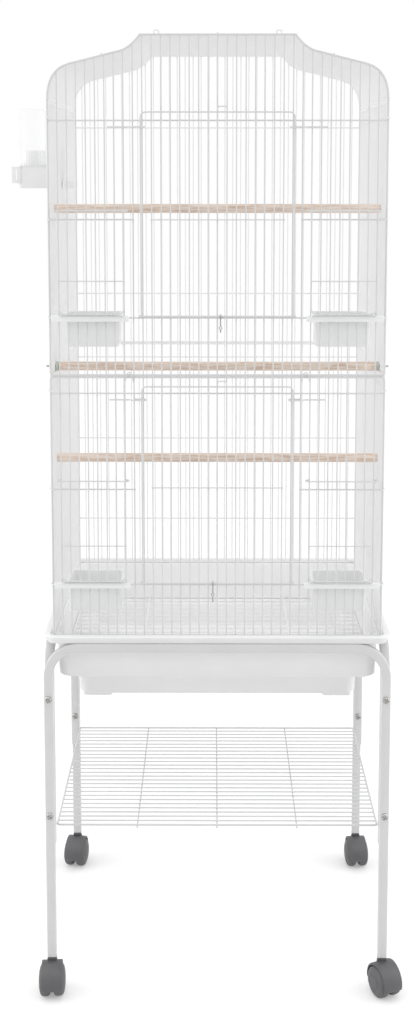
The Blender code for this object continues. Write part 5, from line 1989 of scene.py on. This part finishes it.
@dataclass
class Stand:
    """Tube stand: two wide hoops with the casters' sockets and two narrow hoops bolted behind their legs."""

    tube: float = 0.0127
    half_width: float = 0.2365
    half_depth: float = 0.183
    front_bend: float = 0.0425
    side_bend: float = 0.0400
    tube_corner: float = 0.0016
    mouth_share: float = 0.78
    mouth_depth: float = 0.018
    side_leg: float = 0.3001
    caster_height: float = 0.0546
    bolt_drops: tuple[float, float] = (0.0803, 0.2516)
    bolt_radius: float = 0.0052
    bolt_height: float = 0.0027
    bolt_length: float = 0.0225
    recess_reach: float = 0.66
    recess_half: float = 0.00075
    recess_turns: tuple[float, float] = (25.0, 115.0)

    @property
    def rail_top(self) -> float:
        """Top of the rails that carry the pan."""
        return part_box("stand_frame_front")[1].z

    def hoop(self, half_span: float, foot: float, radius: float) -> list[tuple[float, float]]:
        """Path of a hoop: up one leg, over the top and down the other.

        Args:
            half_span: half the distance between its legs.
            foot: height where its legs end.
            radius: radius of its bends.

        Returns:
            (across, up) pairs.
        """
        rail = self.rail_top - self.tube / 2
        left = arc((-half_span + radius, rail - radius), radius, 180, 90, 14)
        right = arc((half_span - radius, rail - radius), radius, 90, 0, 14)
        return [(-half_span, foot), *left, *right, (half_span, foot)]

    def frame_tube(self, path: Sequence[Vector], normal: Point, name: str) -> Piece:
        """Builds one bent square tube with open ends.

        Args:
            path: its middle line.
            normal: square to its plane.
            name: the node that it stands for.

        Returns:
            The finished piece.
        """
        shape = Shape()
        places = frames_along(path, Vector(normal), False)
        half = self.tube / 2
        face = shape.plate(half, half, self.tube_corner, places[0], 3)
        inner = Matrix.Diagonal((self.mouth_share, self.mouth_share, 1.0, 1.0))
        shape.sweep(face, places)
        for end, inward in ((places[0], 1.0), (places[-1], -1.0)):
            cap = min(
                (f for f in shape.mesh.faces if len(f.verts) > 4),
                key=lambda f: (f.calc_center_median() - end.translation).length,
            )
            mouth = shape.carry(cap, end @ inner @ end.inverted())
            deep = Matrix.Translation((0, 0, inward * self.mouth_depth))
            shape.carry(mouth, end @ deep @ end.inverted())
        return shape.finish(name + "_tube", SHADED_TUBE_COAT, stands_for=[name], smooth_to=50)

    def build(self) -> list[Piece]:
        """Builds the four hoops and the bolts.

        Returns:
            The finished pieces.
        """
        made = []
        for word, y in (("front", -self.half_depth), ("back", self.half_depth)):
            hoop = self.hoop(self.half_width, self.caster_height, self.front_bend)
            path = [Vector((x, y, z)) for x, z in hoop]
            made.append(self.frame_tube(path, (0, 1, 0), "stand_frame_" + word))
        side_half = self.half_depth - self.tube - GAUGE.gap
        foot = self.rail_top - self.side_leg
        for side in Side:
            x = side.value * self.half_width
            path = [Vector((x, y, z)) for y, z in self.hoop(side_half, foot, self.side_bend)]
            made.append(self.frame_tube(path, (1, 0, 0), "stand_frame_" + side.word))
        rows = (("front", -self.half_depth - self.tube / 2), ("back", side_half - self.tube / 2))
        for row, face in rows:
            for side in Side:
                for level, drop in zip(("upper", "lower"), self.bolt_drops):
                    name = "bolt_" + row + "_" + side.word + "_" + level
                    place = (side.value * self.half_width, face, self.rail_top - drop)
                    made.append(self.bolt(name, place))
        return made

    def bolt(self, name: str, place: Point) -> Piece:
        """Builds a pan-head screw with a cross recess and a thin rim under its dome.

        Args:
            name: the node that it stands for.
            place: the middle of the tube's face that it lies on.

        Returns:
            The finished piece.
        """
        shape = Shape()
        radius, height = self.bolt_radius, self.bolt_height
        rim, shank = 0.0004, radius * 0.45
        turns = [math.radians(angle) for angle in (85, 70, 52, 34, 16, 0)]
        dome = [(-rim - height * math.sin(t), radius * 0.94 * math.cos(t) + 0.0002) for t in turns]
        stations = [*dome, (-rim, radius), (0.0, radius), (0.0, shank), (self.bolt_length, shank)]
        shape.turned(stations, place, (0, 1, 0), 20)
        made = shape.to_object(name + "_screw")
        arm, width = radius * self.recess_reach, self.recess_half
        for turn in self.recess_turns:
            bar = Shape()
            bar.slab((-arm, -height - 0.002, -width), (arm, -height + 0.0016, width))
            bar.place(Matrix.Translation(place) @ Matrix.Rotation(math.radians(turn), 4, "Y"))
            cut(made, bar)
        dress(made, BRIGHT_ZINC, MAIN_BODY, [name], 35)
        return made


@dataclass
class Shelf:
    """Wire shelf between the legs, with three wires under it whose tips pass the front wire."""

    half_depth: float = 0.169
    drop: float = 0.2743
    spaces: int = 26
    brace_reach: float = 0.114
    tip: float = 0.003
    corner: float = 0.005

    def build(self) -> list[Piece]:
        """Builds the shelf.

        Returns:
            The finished pieces.
        """
        shape = Shape()
        half_x = Stand.half_width - Stand.tube / 2 - GAUGE.gap - GAUGE.frame / 2
        half_y = self.half_depth
        z = Stand().rail_top - self.drop
        level_grid(shape, half_x, half_y, z, self.spaces, GAUGE.cross, self.corner)
        under = z - GAUGE.frame / 2 - GAUGE.cross / 2 + GAUGE.touch
        reach = half_y + GAUGE.frame / 2
        for x in (-self.brace_reach, 0.0, self.brace_reach):
            shape.rod((x, -reach - self.tip, under), (x, reach, under), GAUGE.cross)
        return [shape.finish("shelf_wires", SHADED_TUBE_COAT, stands_for=["shelf"])]


@dataclass
class Caster:
    """Twin-wheel caster: a stem in its leg, a hood that swivels on it and a pair of domed wheels."""

    name: str
    yaw: float
    wheel_radius: float = 0.0220
    web: float = 0.0040
    web_drop: float = 0.0050
    play: float = 0.0010
    axle_radius: float = 0.0025
    trail: float = 0.0080
    hood_half: float = 0.0147
    hood_radius: float = 0.0244
    hood_lift: float = 0.0018
    hood_front: float = -8.0
    hood_back: float = 196.0
    collar: float = 0.0123
    collar_height: float = 0.0050
    plug: float = 0.0070
    plug_depth: float = 0.0197
    pin_radius: float = 0.0030
    pin_length: float = 0.0038

    @property
    def corner(self) -> tuple[float, float]:
        """The leg's middle on the plan."""
        x = Stand.half_width * (-1 if self.name.endswith("left") else 1)
        y = Stand.half_depth * (-1 if self.name.startswith("front") else 1)
        return x, y

    def to_place(self) -> Matrix:
        """The move from the swivel's axis at the origin to the caster's place and turn."""
        return Matrix.Translation((*self.corner, 0.0)) @ Matrix.Rotation(math.radians(self.yaw), 4, "Z")

    def build(self) -> list[Piece]:
        """Builds the stem, the hood and the wheels.

        Returns:
            The finished pieces.
        """
        return [self.stem(), self.hood(), self.wheels()]

    def stem(self) -> Piece:
        """Builds the dark plug with its collar and the pin below it.

        Returns:
            The finished piece.
        """
        shape = Shape()
        x, y = self.corner
        top = Stand.caster_height - GAUGE.gap
        low = top - self.collar_height
        half, plug = self.collar / 2, self.plug / 2
        shape.slab((x - half, y - half, low), (x + half, y + half, top), 0.0009, 3)
        shape.slab((x - plug, y - plug, top - 0.0005), (x + plug, y + plug, top + self.plug_depth), 0.0008, 2)
        pin = [(-self.pin_length, self.pin_radius), (SOFT, self.pin_radius)]
        shape.turned(pin, (x, y, low), (0, 0, 1), 16)
        node = "caster_stem_" + self.name
        return shape.finish(node + "_plug", DARK_NYLON, stands_for=[node])

    def hood(self) -> Piece:
        """Builds the hood, a band that is thickest over the wheels, and the web between them.

        Returns:
            The finished piece.
        """
        shape = Shape()
        axle = Vector((0.0, -self.trail, self.wheel_radius))
        inner = self.wheel_radius + self.play
        ends = (self.hood_front, self.hood_back)
        band = arc((axle.y, axle.z + self.hood_lift), self.hood_radius, *ends, 36)
        band += arc((axle.y, axle.z), inner, *reversed(ends), 36)
        points = [shape.mesh.verts.new((-self.hood_half, y, z)) for y, z in band]
        near = shape.mesh.faces.new(points)
        far = shape.carry(near, Matrix.Translation((2 * self.hood_half, 0, 0)))
        rims = [
            edge
            for edge in (*near.edges, *far.edges)
            if all((v.co.yz - axle.yz).length > inner + 0.0003 for v in edge.verts)
        ]
        shape.round_edges(rims, 0.0008, 2)
        self.add_web(shape, axle, inner)
        top = Stand.caster_height - GAUGE.gap - self.collar_height
        boss = [(top - 0.0040, 0.0075), (top - 0.0008, 0.0072), (top - 0.0003, 0.0067)]
        shape.turned(boss, (0, 0, 0), (0, 0, 1), 24)
        shape.place(self.to_place())
        node = "caster_hood_" + self.name
        return shape.finish(node + "_moulding", GREY_NYLON, node, [node], 35)

    def add_web(self, shape: Shape, axle: Vector, inner: float) -> None:
        """Adds the web that carries the axle between the wheels.

        Args:
            shape: the hood's mesh.
            axle: the axle's place.
            inner: the hood's inner radius.
        """
        turn = Matrix.Rotation(math.radians(90), 4, "Y")
        start = Matrix.Translation(axle - Vector((self.web / 2, 0, 0))) @ turn
        face = shape.disc(start, inner + 0.0006, 48)
        bmesh.ops.bisect_plane(
            shape.mesh,
            geom=[*face.verts, *face.edges, face],
            plane_co=axle - Vector((0, 0, self.web_drop)),
            plane_no=(0, 0, -1),
            clear_outer=True,
        )
        left = axle.x - self.web / 2
        flat = [f for f in shape.mesh.faces if all(abs(v.co.x - left) < 1e-6 for v in f.verts)]
        shape.carry(max(flat, key=lambda f: f.calc_area()), Matrix.Translation((self.web, 0, 0)))

    def wheels(self) -> Piece:
        """Builds the pair of wheels with their axle, and a cap on each outer face.

        Returns:
            The finished piece.
        """
        shape = Shape()
        inner = self.web / 2 + self.play
        radius = self.wheel_radius
        tread = ((0.0, 0.0026), (0.0018, 0.0008), (0.0046, 0.0), (0.0088, 0.0002), (0.0112, 0.0008))
        dome = ((0.0130, 0.0024), (0.0145, 0.0056), (0.0155, 0.0102))
        groove = ((0.0150, 0.0112), (0.0150, 0.0120))
        cap = ((0.0157, 0.0126), (0.0161, 0.0180))
        profile = (*tread, *dome, *groove, *cap)
        right = [(inner, self.axle_radius)] + [(inner + out, radius - drop) for out, drop in profile]
        stations = [(-along, r) for along, r in reversed(right)] + right
        shape.turned(stations, (0, -self.trail, self.wheel_radius), (1, 0, 0), 48)
        shape.place(self.to_place())
        node = "caster_wheels_" + self.name
        return shape.finish(node + "_pair", GREY_NYLON, node, [node], 30)


@dataclass(frozen=True)
class Studio:
    """Plain pale floor, soft light and the camera at the photograph's place."""

    ambient: float = 0.55
    floor_reach: float = 9.0
    floor_tone: float = 0.8
    floor_glow: float = 0.30
    bank_place: tuple[float, float, float] = (2.3, -0.45, 1.2)
    bank_aim: tuple[float, float, float] = (0.0, 0.0, 0.75)
    bank_size: float = 1.8
    bank_power: float = 19.5
    ceiling_strength: float = 1.08
    ceiling_spread: float = 80.0
    ceiling_tilt: float = 12.0
    camera_place: tuple[float, float, float] = (0.01097, -2.01107, 1.1799)
    camera_turn: tuple[float, float, float] = (math.pi / 2 - 0.1142, 0.0, 0.0045)
    lens: float = 47.82
    shift: float = -0.1855

    def build(self) -> None:
        """Builds the world, the floor, the lamps and the camera."""
        bpy.context.scene.view_settings.view_transform = "Standard"
        self.world()
        self.floor()
        for side in Side:
            self.bank(side)
        self.ceiling()
        self.camera()

    @staticmethod
    def show(tree: Tree, output: str, lighting: bpy.types.Node, seen: bpy.types.Node) -> None:
        """Ends a tree with one shader that lights other things and one that is seen.

        Args:
            tree: a material's or the world's node tree.
            output: the type of its output node.
            lighting: the shader that lights other things.
            seen: the shader for camera, glossy and transmission rays.
        """
        path = add_node(tree, "ShaderNodeLightPath")
        direct = path.outputs["Is Camera Ray"]
        for ray in ("Is Glossy Ray", "Is Transmission Ray"):
            either = {0: direct, 1: path.outputs[ray]}
            direct = add_node(tree, "ShaderNodeMath", {"operation": "MAXIMUM"}, None, either).outputs[0]
        shaders = {0: direct, 1: lighting.outputs[0], 2: seen.outputs[0]}
        mix = add_node(tree, "ShaderNodeMixShader", None, None, shaders)
        add_node(tree, output, None, None, {"Surface": mix.outputs[0]})

    def world(self) -> None:
        """White where it is seen, and a softer white where it lights the object."""
        made = bpy.data.worlds.new("studio_white")
        made.use_nodes = True
        tree = made.node_tree
        tree.nodes.clear()
        soft, white = (
            add_node(tree, "ShaderNodeBackground", None, {"Color": WHITE, "Strength": strength})
            for strength in (self.ambient, 1.0)
        )
        self.show(tree, "ShaderNodeOutputWorld", soft, white)
        bpy.context.scene.world = made

    def floor(self) -> None:
        """A pale floor that keeps the object's soft shadow and meets the white background."""
        shape = bmesh.new()
        bmesh.ops.create_grid(shape, x_segments=1, y_segments=1, size=self.floor_reach)
        data = bpy.data.meshes.new("floor")
        shape.to_mesh(data)
        shape.free()
        surface = bpy.data.materials.new("white_studio_floor")
        surface.use_nodes = True
        tree = surface.node_tree
        tree.nodes.clear()
        tone = (self.floor_tone, self.floor_tone, self.floor_tone, 1.0)
        chalk = add_node(tree, "ShaderNodeBsdfDiffuse", None, {"Color": tone})
        light = {"Color": WHITE, "Strength": self.floor_glow}
        glow = add_node(tree, "ShaderNodeEmission", None, light)
        both = add_node(tree, "ShaderNodeAddShader", None, None, {0: chalk.outputs[0], 1: glow.outputs[0]})
        self.show(tree, "ShaderNodeOutputMaterial", chalk, both)
        data.materials.append(surface)
        add_object("floor", data)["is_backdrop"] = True

    def bank(self, side: Side) -> None:
        """Adds a square soft lamp that faces the middle of the object.

        Args:
            side: the side that it stands on.
        """
        name = side.word + "_bank"
        data = bpy.data.lights.new(name, "AREA")
        data.shape = "SQUARE"
        data.size = self.bank_size
        data.energy = self.bank_power
        made = add_object(name, data)
        across, along, up = self.bank_place
        made.location = (side.value * across, along, up)
        made.rotation_mode = "QUATERNION"
        made.rotation_quaternion = (Vector(self.bank_aim) - made.location).to_track_quat("-Z", "Y")

    def ceiling(self) -> None:
        """Adds an even light from above, as wide as a lit ceiling, that covers the whole floor alike."""
        data = bpy.data.lights.new("ceiling_light", "SUN")
        data.energy = self.ceiling_strength
        data.angle = math.radians(self.ceiling_spread)
        add_object("ceiling_light", data).rotation_euler = (math.radians(self.ceiling_tilt), 0.0, 0.0)

    def camera(self) -> None:
        """Puts the camera where the photograph was taken from."""
        data = bpy.data.cameras.new("photograph_view")
        data.sensor_width = 36.0
        data.sensor_fit = "AUTO"
        data.lens = self.lens
        data.shift_y = self.shift
        made = add_object("photograph_view", data)
        made.location = self.camera_place
        made.rotation_euler = self.camera_turn
        bpy.context.scene.camera = made


@dataclass
class BirdCage:
    """The whole object, from its casters to its roof."""

    yaws: dict[str, float] = field(
        default_factory=lambda: {"front_left": 4.0, "front_right": 25.0, "back_left": -9.0, "back_right": 5.0}
    )

    def parts(self) -> list[Any]:
        """The sub-assemblies in the order in which they are built.

        Returns:
            The sub-assemblies.
        """
        made: list[Any] = []
        for section in (LOWER, UPPER):
            made += [FrontPanel(section), BackPanel(section), MainDoor(section), DoorLatch(section)]
            for side in Side:
                made += [SidePanel(section, side=side), FeederDoor(section, side), FeederCup(section, side)]
        made += [Roof(), *(SectionClip(side) for side in Side), Perches(), Drinker()]
        made += [BasePan(), FloorGrate(), Stand(), Shelf()]
        made += [Caster(name, yaw) for name, yaw in self.yaws.items()]
        return made

    def build(self) -> int:
        """Builds every sub-assembly and counts the pieces."""
        return sum(len(part.build()) for part in self.parts())


def write_sizes() -> None:
    """Writes the CAD model's box and the visual model's box."""
    low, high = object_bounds()
    sizes = {"cad": [list(CAD_LOW), list(CAD_HIGH)], "visual": [list(low), list(high)]}
    for name, (lowest, highest) in sizes.items():
        LOG.info("%s box: %s to %s", name, [round(v, 4) for v in lowest], [round(v, 4) for v in highest])


def main() -> None:
    """Builds the cage and its studio."""
    logging.basicConfig(level=logging.INFO, format="%(name)s: %(message)s")
    Studio().build()
    count = BirdCage().build()
    LOG.info("built %d pieces", count)
    write_sizes()


if __name__ == "__main__":
    main()
